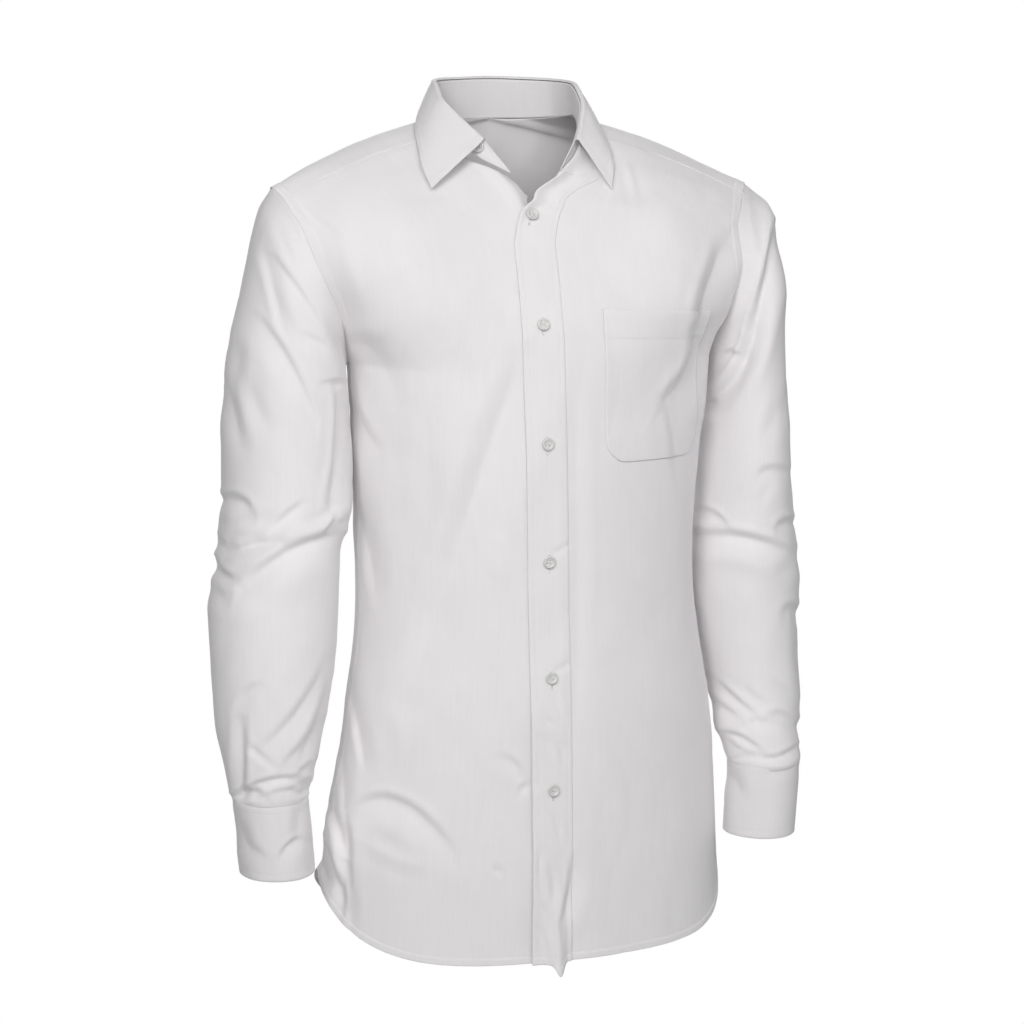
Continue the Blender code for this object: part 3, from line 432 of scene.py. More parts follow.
def crease_relief(creases, across, up):
    """The sum of the creases. Each is depth * exp(-|s|^1.6) with puffed banks at 2 half widths, s being the
    distance from a quadratic curve over the half width, which is narrower on the upper bank and wider on the
    lower one, and fades to both ends."""
    relief = np.zeros(across.shape)
    t = np.linspace(0, 1, CREASE_SAMPLES)
    for u0, v0, u1, v1, u2, v2, width, depth, steep in creases:
        start, middle, end = np.array([[u0, v0], [u1, v1], [u2, v2]])
        handle = 2 * middle - (start + end) / 2
        path = start * ((1 - t) ** 2)[:, None] + handle * (2 * t * (1 - t))[:, None] + end * (t * t)[:, None]
        low, high = path.min(0) - CREASE_REACH * width, path.max(0) + CREASE_REACH * width
        near = (across > low[0]) & (across < high[0]) & (up > low[1]) & (up < high[1])
        if not near.any():
            continue
        point = np.stack([across[near], up[near]], -1)[:, None, :]
        way = np.diff(path, axis=0)
        share = np.clip(((point - path[:-1]) * way).sum(-1) / (way * way).sum(-1), 0, 1)
        apart = point - (path[:-1] + share[..., None] * way)
        distance = np.linalg.norm(apart, axis=-1)
        best = distance.argmin(1)[:, None]
        distance, share = (np.take_along_axis(values, best, 1)[:, 0] for values in (distance, share))
        turned = np.sign((u2 - u0) * UPWARDS[1] - (v2 - v0) * UPWARDS[0])
        side = turned * (way[:, 0] * apart[..., 1] - way[:, 1] * apart[..., 0]) / np.linalg.norm(way, axis=1)
        side = np.clip(np.take_along_axis(side, best, 1)[:, 0] / (0.5 * width), -1, 1)
        s = distance / (width * (1 - steep * np.where(side > 0, side, LOWER_BANK * side)))
        along = (best[:, 0] + share) / (len(t) - 1)
        fade = np.sqrt(np.clip(np.sin(math.pi * np.clip(along, 0.03, 0.97)), 0, 1))
        relief[near] += depth * fade * (np.exp(-(s**1.6)) - PUFF * bell(s - 2.0, 0.85))
    return relief


def soft_waves(points, seed, size, count=12):
    """A sum of sines with random directions and phases, about 1 high and `size` apart, longer up and down."""
    random = np.random.default_rng(seed)
    way = unit(random.normal(size=(count, 3))) * (1, 1, 0.5)
    rate = 2 * math.pi / size * random.uniform(0.6, 1.5, count)
    phase = random.uniform(0, 2 * math.pi, count)
    bent = points + 0.25 * size * np.sin(points[..., [2, 0, 1]] * 2.1 / size + seed)
    return np.sin(bent @ (way * rate[:, None]).T + phase).sum(-1) / math.sqrt(count / 2)


def fine_crumple(points, seed):
    """Low sharp-edged facets such as pressed cotton keeps: folded soft waves of two sizes."""
    facets = np.abs(soft_waves(points, seed, 70)) * 0.3 + np.abs(soft_waves(points, seed + 1, 34)) * 0.12
    return facets + 0.35 * soft_waves(points, seed + 2, 130) - 0.3


def drape(points, normal, seen_creases, behind_creases, seed):
    """How far the cloth moves out: creases on the side towards the camera, those seen from behind on the
    other, and a fine crumple everywhere."""
    facing = unit(CAMERA_PLACE - points)
    front = ease((facing * normal).sum(-1), -0.4, 0.05)
    behind = ease(normal[..., 1], -0.1, 0.4) * (1 - front)
    out = front * crease_relief(seen_creases, *as_seen(points))
    out += behind * crease_relief(behind_creases, points[..., 0], points[..., 2])
    return out + fine_crumple(points, seed)


def grid_faces(rows, columns, closed=False):
    """Quads of a grid of points, as corners' numbers."""
    r, c = np.meshgrid(np.arange(rows - 1), np.arange(columns if closed else columns - 1), indexing="ij")
    d = (c + 1) % columns
    quads = (r * columns + c, r * columns + d, (r + 1) * columns + d, (r + 1) * columns + c)
    return np.stack(quads, -1).reshape(-1, 4)


def grid_normals(points, closed=False):
    """Unit normals of a grid of points: along its rows crossed with down its columns."""
    if closed:
        wide = np.concatenate([points[:, -1:], points, points[:, :1]], axis=1)
        along = (wide[:, 2:] - wide[:, :-2]) / 2
    else:
        along = np.gradient(points, axis=1)
    return unit(np.cross(along, np.gradient(points, axis=0)))


def in_wall(points, normal, faces, thickness):
    """A closed cloth wall: the outer face, the same face `thickness` further in, and a rounded rim along
    every open edge, whose middle line is pushed outwards."""
    count = len(points)
    corner = points[faces]
    turned = (np.cross(corner[:, 1] - corner[:, 0], corner[:, 3] - corner[:, 0]) * normal[faces[:, 0]]).sum()
    faces = faces[:, ::-1] if turned < 0 else faces
    edges = np.concatenate([faces[:, [k, (k + 1) % 4]] for k in range(4)])
    rim = edges[~np.isin(edges[:, 0] * count + edges[:, 1], edges[:, 1] * count + edges[:, 0])]
    push = np.zeros_like(points)
    out = unit(np.cross(points[rim[:, 1]] - points[rim[:, 0]], normal[rim[:, 0]]))
    np.add.at(push, rim.ravel(), np.repeat(out, 2, axis=0))
    on_rim = np.unique(rim)
    middle = points[on_rim] - thickness / 2 * normal[on_rim] + 0.45 * thickness * unit(push[on_rim])
    place = np.zeros(count, int)
    place[on_rim] = 2 * count + np.arange(len(on_rim))
    a, b = rim.T
    sides = [np.stack([b, a, place[a], place[b]], 1), np.stack([place[b], place[a], a + count, b + count], 1)]
    source = np.concatenate([np.arange(count), np.arange(count), on_rim])
    solid = np.concatenate([points, points - thickness * normal, middle])
    return solid, np.concatenate([faces, faces[:, [0, 3, 2, 1]] + count, *sides]), source


panels = {}
pieces = {}


def add_cloth(name, points, faces, material, cloth_place):
    """A piece from points in millimetres and quads, with the cloth's own place in metres as its UV map."""
    mesh = bpy.data.meshes.new(name)
    mesh.vertices.add(len(points))
    mesh.vertices.foreach_set("co", (points * MM).astype(np.float32).ravel())
    mesh.loops.add(faces.size)
    mesh.loops.foreach_set("vertex_index", faces.astype(np.int32).ravel())
    mesh.polygons.add(len(faces))
    mesh.polygons.foreach_set("loop_start", np.arange(len(faces), dtype=np.int32) * faces.shape[1])
    mesh.update(calc_edges=True)
    layer = mesh.uv_layers.new(name="cloth")
    layer.data.foreach_set("uv", (cloth_place[faces.ravel()] * MM).astype(np.float32).ravel())
    mesh.validate()
    return link_piece(name, mesh, material)


def link_piece(name, mesh, material):
    """A smooth object from a mesh, which stays with the shirt's one body."""
    mesh.materials.append(material)
    mesh.shade_smooth()
    piece = bpy.data.objects.new(name, mesh)
    bpy.context.scene.collection.objects.link(piece)
    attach(piece, "root")
    return piece


def add_small_piece(name, points, faces, material):
    """A piece from points in millimetres and quads, whose last two corners are the same in a triangle."""
    mesh = bpy.data.meshes.new(name)
    polygons = [face[:3] if face[2] == face[3] else face for face in faces.tolist()]
    mesh.from_pydata((points * MM).tolist(), [], polygons)
    return link_piece(name, mesh, material)


def add_panel(name, points, normal, faces, cloth_place, thickness, material):
    """A cloth panel as a wall, which takes the place of the CAD node of its name."""
    flat, up, place = points.reshape(-1, 3), normal.reshape(-1, 3), cloth_place.reshape(-1, 2)
    solid, faces, source = in_wall(flat, up, faces, thickness)
    pieces[name] = add_cloth(name + "_cloth", solid, faces, material, place[source])
    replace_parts(pieces[name], name)


def add_grid_panel(name, points, towards, thickness, material, closed=False, facing=None, **also):
    """A panel from a grid of points, whose normals point the way `towards` does unless `facing` gives them.
    What later sections need of it is kept in `panels`."""
    if facing is None:
        facing = grid_normals(points, closed)
        facing *= np.sign((facing * towards).sum())
    panels[name] = {"points": points, "normal": facing, **also}
    faces = grid_faces(*points.shape[:2], closed=closed)
    add_panel(name, points, facing, faces, cloth_places(points), thickness, material)


def add_node(tree, kind, inputs=(), **settings):
    """A shader node with its settings and its unlinked inputs."""
    node = tree.nodes.new("ShaderNode" + kind)
    for name, value in settings.items():
        setattr(node, name, value)
    for name, value in dict(inputs).items():
        if isinstance(value, bpy.types.NodeSocket):
            tree.links.new(value, node.inputs[name])
        else:
            node.inputs[name].default_value = value
    return node


def poplin(name, roughness, slub, colour):
    """White cotton: a weave of two crossed sine bands, slubs stretched down the cloth, and a faint mottle."""
    material = bpy.data.materials.new(name)
    material.use_nodes = True
    tree = material.node_tree
    shader = tree.nodes["Principled BSDF"]
    place = add_node(tree, "TexCoord").outputs["UV"]
    warp = add_node(tree, "TexWave", {"Vector": place, "Scale": 480, "Distortion": 0.5}, bands_direction="X")
    weft = add_node(tree, "TexWave", {"Vector": place, "Scale": 360, "Distortion": 0.5}, bands_direction="Y")
    weave = add_node(tree, "Math", {0: warp.outputs["Fac"], 1: weft.outputs["Fac"]}, operation="MULTIPLY")
    stretched = add_node(tree, "Mapping", {"Vector": place, "Scale": (420, 18, 1)})
    slubs = add_node(tree, "TexNoise", {"Vector": stretched.outputs[0], "Scale": 1, "Detail": 3})
    mottle = add_node(tree, "TexNoise", {"Vector": place, "Scale": 26, "Detail": 4})
    shade = add_node(tree, "Math", {0: mottle.outputs["Fac"], 1: slubs.outputs["Fac"]}, operation="ADD")
    tone = add_node(tree, "Mix", data_type="RGBA")
    mixed = add_node(tree, "MapRange", {"Value": shade.outputs[0], "From Min": 0.7, "From Max": 1.3})
    tree.links.new(mixed.outputs[0], tone.inputs[0])
    tone.inputs[6].default_value = (*(c * (1 - slub) for c in colour), 1)
    tone.inputs[7].default_value = (*colour, 1)
    tree.links.new(tone.outputs[2], shader.inputs["Base Color"])
    fine = add_node(tree, "Bump", {"Height": weave.outputs[0], "Strength": 0.25, "Distance": 0.00006})
    bump = add_node(
        tree, "Bump",
        {"Height": slubs.outputs["Fac"], "Normal": fine.outputs[0], "Strength": 0.3, "Distance": 0.00025},
    )
    tree.links.new(bump.outputs[0], shader.inputs["Normal"])
    shader.inputs["Roughness"].default_value = roughness
    shader.inputs["Sheen Weight"].default_value = 0.35
    shader.inputs["Sheen Roughness"].default_value = 0.5
    shader.inputs["Specular IOR Level"].default_value = 0.25
    return material


cotton = poplin("white poplin", 0.82, 0.035, (0.866, 0.848, 0.859))


def spaced(length, fine_first, fine_last, fine, coarse):
    """Places from 0 to a length, `fine` apart near the ends and about `coarse` apart between."""
    first, last = np.arange(0, fine_first, fine), length - np.arange(0, fine_last, fine)[::-1]
    count = max(2, round((length - fine_first - fine_last) / coarse))
    between = np.linspace(fine_first, length - fine_last, count)
    return np.unique(np.round(np.concatenate([first, between, last]), 3))


def panel_rows(first, last, fine_first, fine_last, coarse):
    """Row numbers down a panel, spaced by lengths measured at six tenths of the way to the side."""
    dense = np.linspace(first, last, 1200)
    middle = body_points(dense, row_lengths("left", dense)[:, None] * 0.6)[:, 0]
    run = lengths_along(middle)
    return np.interp(spaced(run[-1], fine_first, fine_last, 0.9, coarse), run, dense)


def to_edge(side, rows, along):
    """Distance from the armhole or side edge."""
    return row_lengths(side, rows)[:, None] - np.abs(along)


def hem_turn_up(depth, across):
    """The hem: a raised band as deep as HEM_DEPTH with slanting puckers between its fold and its stitches."""
    band = 1 - ease(depth, HEM_DEPTH - 0.8, HEM_DEPTH + 0.8)
    slant = np.sin((across + 0.8 * depth) * 2 * math.pi / 10.5 + 1.7 * np.sin(across / 31))
    swell = 0.16 * slant * np.sin(across / 57 + 0.8) * ease(depth, 0, 3) * (1 - ease(depth, 7, 13))
    return HEM_HEIGHT * band + swell - 0.2 * bell(depth - HEM_DEPTH, 0.8)


def depth_from(points, last=False):
    """Each point's distance along its column from the grid's first (or last) row."""
    run = lengths_along(points)
    return run[-1:] - run if last else run


def neck_roll(side, rows, along):
    """Along the open neck the right front's edge turns in, and the left one's stands out over a hollow."""
    from_edge = along - opening_start(side, rows)
    open_part = ease(body_column("mid_z", rows), -104, -80)[:, None]
    if side == "right":
        return -7 * open_part * (1 - ease(from_edge, -1, 13)) ** 1.5
    return open_part * (3.5 * bell(from_edge, 6.5) - 1.6 * bell(from_edge - 15, 8))


def draped_body(rows, along):
    """Points and normals of the body surface, and how far its creases move it out."""
    points, normal = body_points(rows, along), body_normals(rows, along)
    return points, normal, drape(points, normal, TORSO_CREASES, BACK_CREASES, BODY_SEED)


def felled(edge):
    """How far the felled seam stands out at a distance from the edge."""
    return FELL_HEIGHT * (1 - ease(edge, FELL_WIDTH - 0.8, FELL_WIDTH + 1.2))


def held_flat(held, edge, low, high):
    """What is left of the creases where a seam `held` (0 to 1) holds the cloth, up to a distance from it."""
    return 1 - 0.85 * held * (1 - ease(edge, low, high))


def front_cloth(side, rows, along, hem_depth=None):
    """Points and normals of a front's outer face with its creases. The left one lies out at the overlap."""
    points, normal, out = draped_body(rows, SIGN[side] * along)
    edge = to_edge(side, rows, along)
    out *= held_flat(ease(rows, FRONT_UNDERARM, FRONT_UNDERARM + 1)[:, None], edge, 1, 13)
    out *= 1 - 0.6 * (1 - ease(row_of("front yoke seam") - rows, 0.0, 0.5))[:, None]
    out += neck_roll(side, rows, along) + felled(edge)
    if side == "left":
        out += LAP_LAYER * (1 - ease(along, 30, 90))
    if hem_depth is not None:
        out += hem_turn_up(hem_depth, along)
    return points + normal * out[:, :, None], normal


def at_opening(values, rows):
    """Values given at the OPENING_LEVELS, read at each row, as a column."""
    level = np.clip(body_column("mid_z", rows), OPENING_LEVELS[0], OPENING_LEVELS[-1])
    return smooth_through(OPENING_LEVELS, values, level)[:, None]


def opening_start(side, rows):
    """Where a front starts in each row: its free edge."""
    return at_opening(OPENING_STARTS[side], rows)


def front_grid(side):
    """A front's rows and the distances along them: the band, the chest and side, and the felled edge."""
    rows = panel_rows(0, row_of("front yoke seam"), 9, 3, FRONT_STEP)
    length = row_lengths(side, rows)[:, None] - SEAM_GAP
    first, last = opening_start(side, rows), at_opening(BAND_ENDS, rows)
    band = first + (last - first) * np.linspace(0, 1, BAND_COLUMNS + 1)[None, :-1]
    start = band[:, -1:] + (last - first) / BAND_COLUMNS
    return rows, np.concatenate([band, up_to_edge(start, length, CHEST_COLUMNS)], axis=1)


def up_to_edge(start, length, columns):
    """Evenly spaced columns from `start`, and then one each millimetre of the last EDGE_COLUMNS."""
    middle = start + (length - EDGE_COLUMNS - start) * np.linspace(0, 1, columns)[None, :]
    return np.concatenate([middle, length - np.arange(EDGE_COLUMNS - 1, -1, -1)[None, :]], axis=1)


def cloth_places(points):
    """The cloth's own coordinates in millimetres: across from column to column, down from row to row."""
    across = lengths_along(points.swapaxes(0, 1)).T
    across = across - across[:, across.shape[1] // 2][:, None]
    down = depth_from(points)[:, points.shape[1] // 2][:, None]
    return np.stack(np.broadcast_arrays(across, down), -1)


for side in SIDES:
    rows, along = front_grid(side)
    hem_depth = depth_from(body_points(rows, SIGN[side] * along))
    points, towards = front_cloth(side, rows, along, hem_depth)
    add_grid_panel("front_" + side, points, towards, CLOTH, cotton, rows=rows)

# ---- Placket: a band 38 mm wide, folded and stitched 5 mm from both edges, on the left front's edge. Six
# upright buttonholes are cut in it. At the bottom its hem curls out and hangs a little lower.
PLACKET_RISE = 1.0
PLACKET_STITCH = 5.0
PLACKET_COLUMNS = 33
BUTTON_LEVELS = (-90, -187, -293, -399, -504, -606)


def placket_cloth(rows, across):
    """The band's outer face, `across` it from its free edge, with a groove along both rows of stitches."""
    first, last = opening_start("left", rows), at_opening(BAND_ENDS, rows)
    along = first + (last - first) * across / PLACKET_WIDTH
    hem_depth = depth_from(body_points(rows, along))
    points, normal = front_cloth("left", rows, along, hem_depth)
    down = np.broadcast_to(depth_from(points), across.shape)
    groove = 0
    for line in (PLACKET_STITCH, PLACKET_WIDTH - PLACKET_STITCH):
        pucker = 0.6 + 0.4 * np.sin(down * 2 * math.pi / 7.3 + 1.9 * np.sin(down / 41 + line))
        groove = groove + 0.28 * pucker * bell(across - line, GROOVE)
    edge = np.minimum(across, PLACKET_WIDTH - across)
    swell = PLACKET_RISE - 0.35 * (1 - ease(edge, 0, 2)) - groove
    swell = swell + 3.5 * (1 - across / PLACKET_WIDTH) * ease(-points[..., 2], 470, 590)
    roll = (1 - ease(hem_depth, 0, 90)) * ease(across, 6, 22) * (1 - 0.9 * ease(across, 23, 35))
    tip = bell(hem_depth, 15) * bell(across - 25, 5)
    points = points + normal * (swell + 6.5 * roll + 2 * tip)[:, :, None]
    points[..., 2] -= 11 * tip
    return points, normal


rows = panel_rows(0, row_of("front neck end") - 0.02, 9, 3, 2.1)
across = np.tile(np.linspace(0, PLACKET_WIDTH, PLACKET_COLUMNS), (len(rows), 1))
points, towards = placket_cloth(rows, across)
add_grid_panel("front_placket", points, towards, PLACKET_RISE - 0.1, cotton, rows=rows)

# ---- Pocket: a patch 118 by 142 mm on the left chest with round lower corners, a 28 mm band along its
# opening, and a row of stitches 2 mm inside its other edges.
POCKET_START, POCKET_WIDTH = 58, 118
POCKET_TOP, POCKET_HEIGHT, POCKET_CORNER = -171, 142, 22
POCKET_BAND = 28
POCKET_RISE, POCKET_COLUMNS = 1.3, 70


def pocket_grid():
    """Rows from the bottom edge up, each as wide as the round corners leave it."""
    up = spaced(POCKET_HEIGHT, POCKET_CORNER, 6, 1.0, 1.9)
    rows = row_at_level(POCKET_TOP - POCKET_HEIGHT + up)
    rise = np.minimum(up / POCKET_CORNER, 1)[:, None]
    inset = POCKET_CORNER * (1 - np.sqrt(1 - (1 - rise) ** 2))
    share = np.linspace(0, 1, POCKET_COLUMNS)[None, :]
    return rows, POCKET_START + inset + (POCKET_WIDTH - 2 * inset) * share, up


rows, along, up = pocket_grid()
points, towards = front_cloth("left", rows, along)
hem_line = POCKET_HEIGHT - POCKET_BAND
swell = POCKET_RISE + 0.45 * ease(up, hem_line - 0.7, hem_line + 0.7)
swell = swell - 0.3 * bell(up - hem_line, 1.2) + 0.8 * ease(up, POCKET_HEIGHT - 24, POCKET_HEIGHT)
add_grid_panel("pocket", points + towards * swell[:, None, None], towards, CLOTH, cotton, up=up)

# ---- Back: one piece of poplin from the yoke seam to the longer back hem, with felled edges that run a
# little way under the fronts at the sides.
BACK_STEP, BACK_COLUMNS = 3.8, 57
UNDERLAP = 3.0


def back_cloth(rows, along, hem_depth):
    """Points and normals of the back's outer face. Below the armholes its edges dip under the fronts."""
    points, normal, out = draped_body(rows, along)
    left, right = to_edge("left", rows, np.maximum(along, 0)), to_edge("right", rows, np.minimum(along, 0))
    edge = np.minimum(left, right)
    armhole = 1 - ease(rows, BACK_UNDERARM - 0.4, BACK_UNDERARM)[:, None]
    out *= held_flat(armhole, edge, 2, 22)
    out += armhole * felled(edge) - (1 - armhole) * 0.9 * (1 - ease(edge, -1, 5))
    out += hem_turn_up(hem_depth, along) * ease(edge, 0, 8)
    return points + normal * out[:, :, None], normal


rows = panel_rows(row_of("back yoke seam"), len(BODY_ROWS) - 1, 3, 9, BACK_STEP)
below_armhole = ease(rows, BACK_UNDERARM - 0.1, BACK_UNDERARM + 0.2)[:, None]
under = UNDERLAP * below_armhole - SEAM_GAP * (1 - below_armhole)
halves = {}
for side in SIDES:
    end = row_lengths(side, rows)[:, None] + under
    middle = np.linspace(0, 1, BACK_COLUMNS)[None, :-1] * (end - EDGE_COLUMNS)
    halves[side] = np.concatenate([middle, end - np.arange(EDGE_COLUMNS, -1, -1)[None, :]], axis=1)
along = np.concatenate([-halves["right"][:, :0:-1], halves["left"]], axis=1)
hem_depth = depth_from(body_points(rows, along), last=True)
points, towards = back_cloth(rows, along, hem_depth)
add_grid_panel("back", points, towards, CLOTH, cotton, rows=rows)

# ---- Yoke: a double piece over the shoulders. It laps 1 mm over the fronts and the back, which are sewn
# into its edges, and carries a row of stitches 2 mm inside them.
YOKE_RISE = 0.55
YOKE_COLUMNS = 84


def yoke_cloth(rows, along, side):
    """Points and normals of half the yoke's outer face, flatter near its seams."""
    points, normal, out = draped_body(rows, SIGN[side] * along)
    edge = to_edge(side, rows, along)
    ends = np.minimum(rows - row_of("front yoke seam"), row_of("back yoke seam") - rows)[:, None]
    out *= held_flat(1, edge, 2, 22) * (1 - 0.6 * (1 - ease(ends, 0, 0.6)))
    return points + normal * (out + felled(edge) + YOKE_RISE)[:, :, None], normal


first, last = row_of("front yoke seam"), row_of("back yoke seam")
rows = panel_rows(first, last, 3, 3, FRONT_STEP)
rows = np.concatenate([[first - 0.05], rows, [last + 0.02]])
corners, places, normals, faces = [], [], [], []
for side in ("left", "right"):
    start = SEAM_GAP * (rows < row_of("nape"))[:, None]
    along = up_to_edge(start, row_lengths(side, rows)[:, None] - SEAM_GAP, YOKE_COLUMNS)
    points, base_normal = yoke_cloth(rows, along, side)
    panels["yoke_" + side] = {"points": points, "normal": base_normal}
    faces.append(grid_faces(*points.shape[:2]) + sum(len(c) for c in corners))
    if side == "right":
        faces[-1] = faces[-1][:, ::-1]
    corners.append(points.reshape(-1, 3))
    normals.append(base_normal.reshape(-1, 3))
    places.append(cloth_places(points).reshape(-1, 2))
corners, normals, places, faces = map(np.concatenate, (corners, normals, places, faces))
_, kept, merged = np.unique(np.round(corners, 2), axis=0, return_index=True, return_inverse=True)
summed = np.zeros((len(kept), 3))
np.add.at(summed, merged.ravel(), normals)
add_panel("yoke", corners[kept], unit(summed), merged.ravel()[faces], places[kept], CLOTH, cotton)

# ---- Sleeves: one tube each, set into the armhole with its allowance under the body's felled edge, bent a
# little at the elbow, and narrowing to its end inside the cuff.
SLEEVE_COLUMNS = ("name", "outer_x", "outer_z", "inner_x", "inner_z", "mid_y", "half_depth")
SLEEVE_RINGS = {
    "right": (
        ("cap", 235, -82, 161, -231, -72, 62),
        ("head", 242, -105, 159, -245, -73, 64),
        ("biceps top", 254, -156, 157, -270, -74, 66),
        ("biceps", 268, -216, 156.5, -295, -76, 66),
        ("upper arm", 275, -285, 158, -330, -80, 65),
        ("above elbow", 278, -347, 162, -365, -86, 64),
        ("elbow", 286, -398, 173, -396, -94, 63),
        ("below elbow", 294, -446, 176, -441, -100, 62),
        ("forearm", 293, -496, 181, -491, -106, 60),
        ("forearm low", 291, -542, 190, -537, -112, 55),
        ("above cuff", 284, -582, 202, -576, -117, 48),
        ("cuff seam", 279, -611, 210, -611, -120, 40),
    ),
    "left": (
        ("cap", 248, -76, 196, -231, -72, 62),
        ("head", 261, -105, 197, -245, -73, 64),
        ("biceps top", 266, -156, 197, -270, -74, 66),
        ("biceps", 267, -216, 192, -295, -76, 66),
        ("upper arm", 270, -285, 187, -330, -80, 65),
        ("above elbow", 271, -347, 185, -365, -81, 64),
        ("elbow", 276, -400, 180, -400, -82, 64),
        ("below elbow", 281, -446, 179, -441, -82, 62),
        ("forearm", 279, -496, 185, -491, -83, 60),
        ("forearm low", 280, -542, 192, -537, -88, 56),
        ("above cuff", 273, -582, 194, -576, -103, 48),
        ("cuff seam", 269, -611, 200, -611, -120, 40),
    ),
}
SLEEVE_SIDES, SLEEVE_STEP = 158, 2.6
SLEEVE_SEEDS = {"left": 23, "right": 37}
FRONT_SHARE = 0.42  # how much closer than even the sleeve's columns stand on its front
# Creases in the camera's plane, as on the body.
SLEEVE_CREASES = {
    "right": (
        (-224, 153, -199, 120, -171, 80, 4, -2.6, 0.4),
        (-233, 159, -225, 122, -215, 84, 4.5, -2.8, 0.3),
        (-239, 96, -208, 52, -184, -2, 5, -3.4, 0.4),
        (-196, 80, -182, 74, -163, 64, 4, -2.0, 0.3),
        (-173, 94, -163, 78, -155, 64, 4, -3.2, 0.2),
        (-178, 34, -167, 36, -156, 34, 3.5, -2.6, 0.4),
        (-162, 32, -161, -19, -170, -77, 5, -5.5, 0.2),
        (-260, 73, -258, 54, -262, 36, 6, -2.0, 0),
        (-268, 33, -263, 8, -255, -24, 6, -3.2, 0),
        (-218, 203, -200, 174, -178, 143, 3, -0.8, 0),
        (-221, 182, -213, 164, -205, 148, 4, -1.0, 0),
        (-246, 33, -238, 9, -229, -9, 7, -1.8, 0),
        (-278, -76, -259, -74, -245, -86, 5, -5.0, 0.3),
        (-270, -96, -246, -93, -223, -91, 5, -1.4, 0),
        (-195, -78, -212, -90, -226, -106, 4, -3.2, 0.3),
        (-224, -106, -241, -109, -260, -107, 3.5, -1.8, 0.3),
        (-277, -111, -269, -117, -263, -111, 4, -3.2, 0.2),
        (-280, -131, -253, -118, -218, -113, 3.8, -4.6, 0.4),
        (-282, -131, -273, -143, -260, -149, 3.8, -4.6, 0.2),
        (-161, -109, -212, -125, -252, -158, 6.5, -5.2, 0.4),
        (-154, -68, -173, -98, -229, -109, 5.5, 3.6, 0),
        (-165, -90, -170, -98, -175, -105, 3.5, -3.4, 0.3),
        (-279, -145, -276, -161, -267, -174, 7, -1.8, 0),
        (-238, -249, -250, -257, -259, -274, 4.5, -2.4, 0.3),
        (-254, -283, -255, -319, -255, -356, 4.5, -5.0, 0),
        (-249, -302, -238, -314, -223, -325, 3, -1.6, 0),
        (-173, -225, -197, -270, -238, -312, 6, -2.6, 0.3),
        (-170, -246, -188, -293, -212, -321, 5, -3.2, 0.3),
        (-178, -281, -187, -298, -197, -317, 3.5, -2.2, 0.2),
        (-259, -351, -227, -338, -195, -337, 3.5, -3.4, 0.4),
        (-261, -356, -248, -350, -233, -353, 4, -4.2, 0.2),
        (-233, -354, -210, -348, -197, -352, 3.5, -2.6, 0.3),
        (-188, -321, -193, -326, -200, -331, 3.2, -2.8, 0.3),
        (-188, -337, -195, -341, -205, -345, 3.2, -2.8, 0.3),
        (-188, -346, -193, -348, -198, -353, 3.2, -3.0, 0),
    ),
    "left": (
        (224, 216, 231, 183, 238, 150, 4, -1.8, 0.2),
        (249, 182, 240, 135, 224, 84, 5.5, -9.0, 0.3),
        (259, 122, 250, 33, 242, -39, 15, -3.0, 0),
        (227, 94, 215, 56, 188, 18, 5.5, -9.0, 0.3),
        (196, 59, 205, 63, 214, 59, 3.5, -2.8, 0.4),
        (197, 33, 205, 43, 213, 54, 4, 2.0, 0),
        (257, 17, 243, -5, 231, -25, 7, -1.4, 0),
        (231, -54, 244, -47, 262, -50, 6, -2.8, 0.4),
        (233, -78, 237, -68, 243, -60, 4, -1.2, 0),
        (176, -84, 190, -89, 203, -102, 3.8, -3.0, 0.3),
        (171, -108, 216, -111, 263, -125, 6, -6.2, 0.3),
        (250, -103, 257, -96, 267, -99, 5, -3.6, 0.3),
        (265, -137, 256, -141, 248, -147, 6, -1.2, 0),
        (257, -182, 265, -178, 273, -197, 5, -3.6, 0.2),
        (267, -206, 268, -227, 271, -253, 4, -1.2, 0),
        (189, -244, 209, -263, 227, -277, 5.5, -3.8, 0.4),
        (183, -260, 197, -271, 211, -280, 5, -3.4, 0.3),
        (214, -248, 230, -262, 248, -268, 5, -1.6, 0.3),
        (240, -244, 253, -253, 267, -263, 5, -1.6, 0.3),
        (242, -279, 256, -278, 272, -293, 5, -4.2, 0.3),
        (218, -292, 233, -282, 255, -297, 3.5, -2.0, 0.3),
        (195, -294, 214, -298, 235, -312, 3.8, -3.8, 0.3),
        (201, -301, 210, -308, 222, -313, 3.5, -2.8, 0.3),
        (203, -321, 225, -315, 249, -321, 3.2, -2.6, 0.2),
        (238, -318, 253, -315, 268, -306, 3.5, -4.6, 0.3),
    ),
}
# Creases of the hidden side, x counted outwards on both sleeves and z.
SLEEVE_BACK_CREASES = (
    (270, -130, 240, -175, 205, -215, 6.5, -4, 0.3),
    (276, -200, 238, -228, 190, -262, 7.2, -3.4, 0.2),
    (180, -330, 222, -352, 268, -346, 5.8, -5.2, 0.3),
    (186, -382, 228, -372, 284, -392, 5, -4.6, 0.3),
    (190, -408, 226, -425, 262, -452, 5.8, -4, 0.3),
    (200, -500, 232, -528, 270, -540, 5.8, -3.4, 0),
    (198, -556, 226, -566, 262, -562, 4.3, -3.2, 0.3),
    (262, -560, 264, -588, 262, -612, 4.3, -3.4, 0),
)


def turn_share():
    """Shares of a turn from the underarm round the front: t + a (cos 2 pi t - 1) / 2 pi, close in front."""
    even = np.arange(SLEEVE_SIDES) / SLEEVE_SIDES
    return even + FRONT_SHARE * (np.cos(2 * math.pi * even) - 1) / (2 * math.pi)


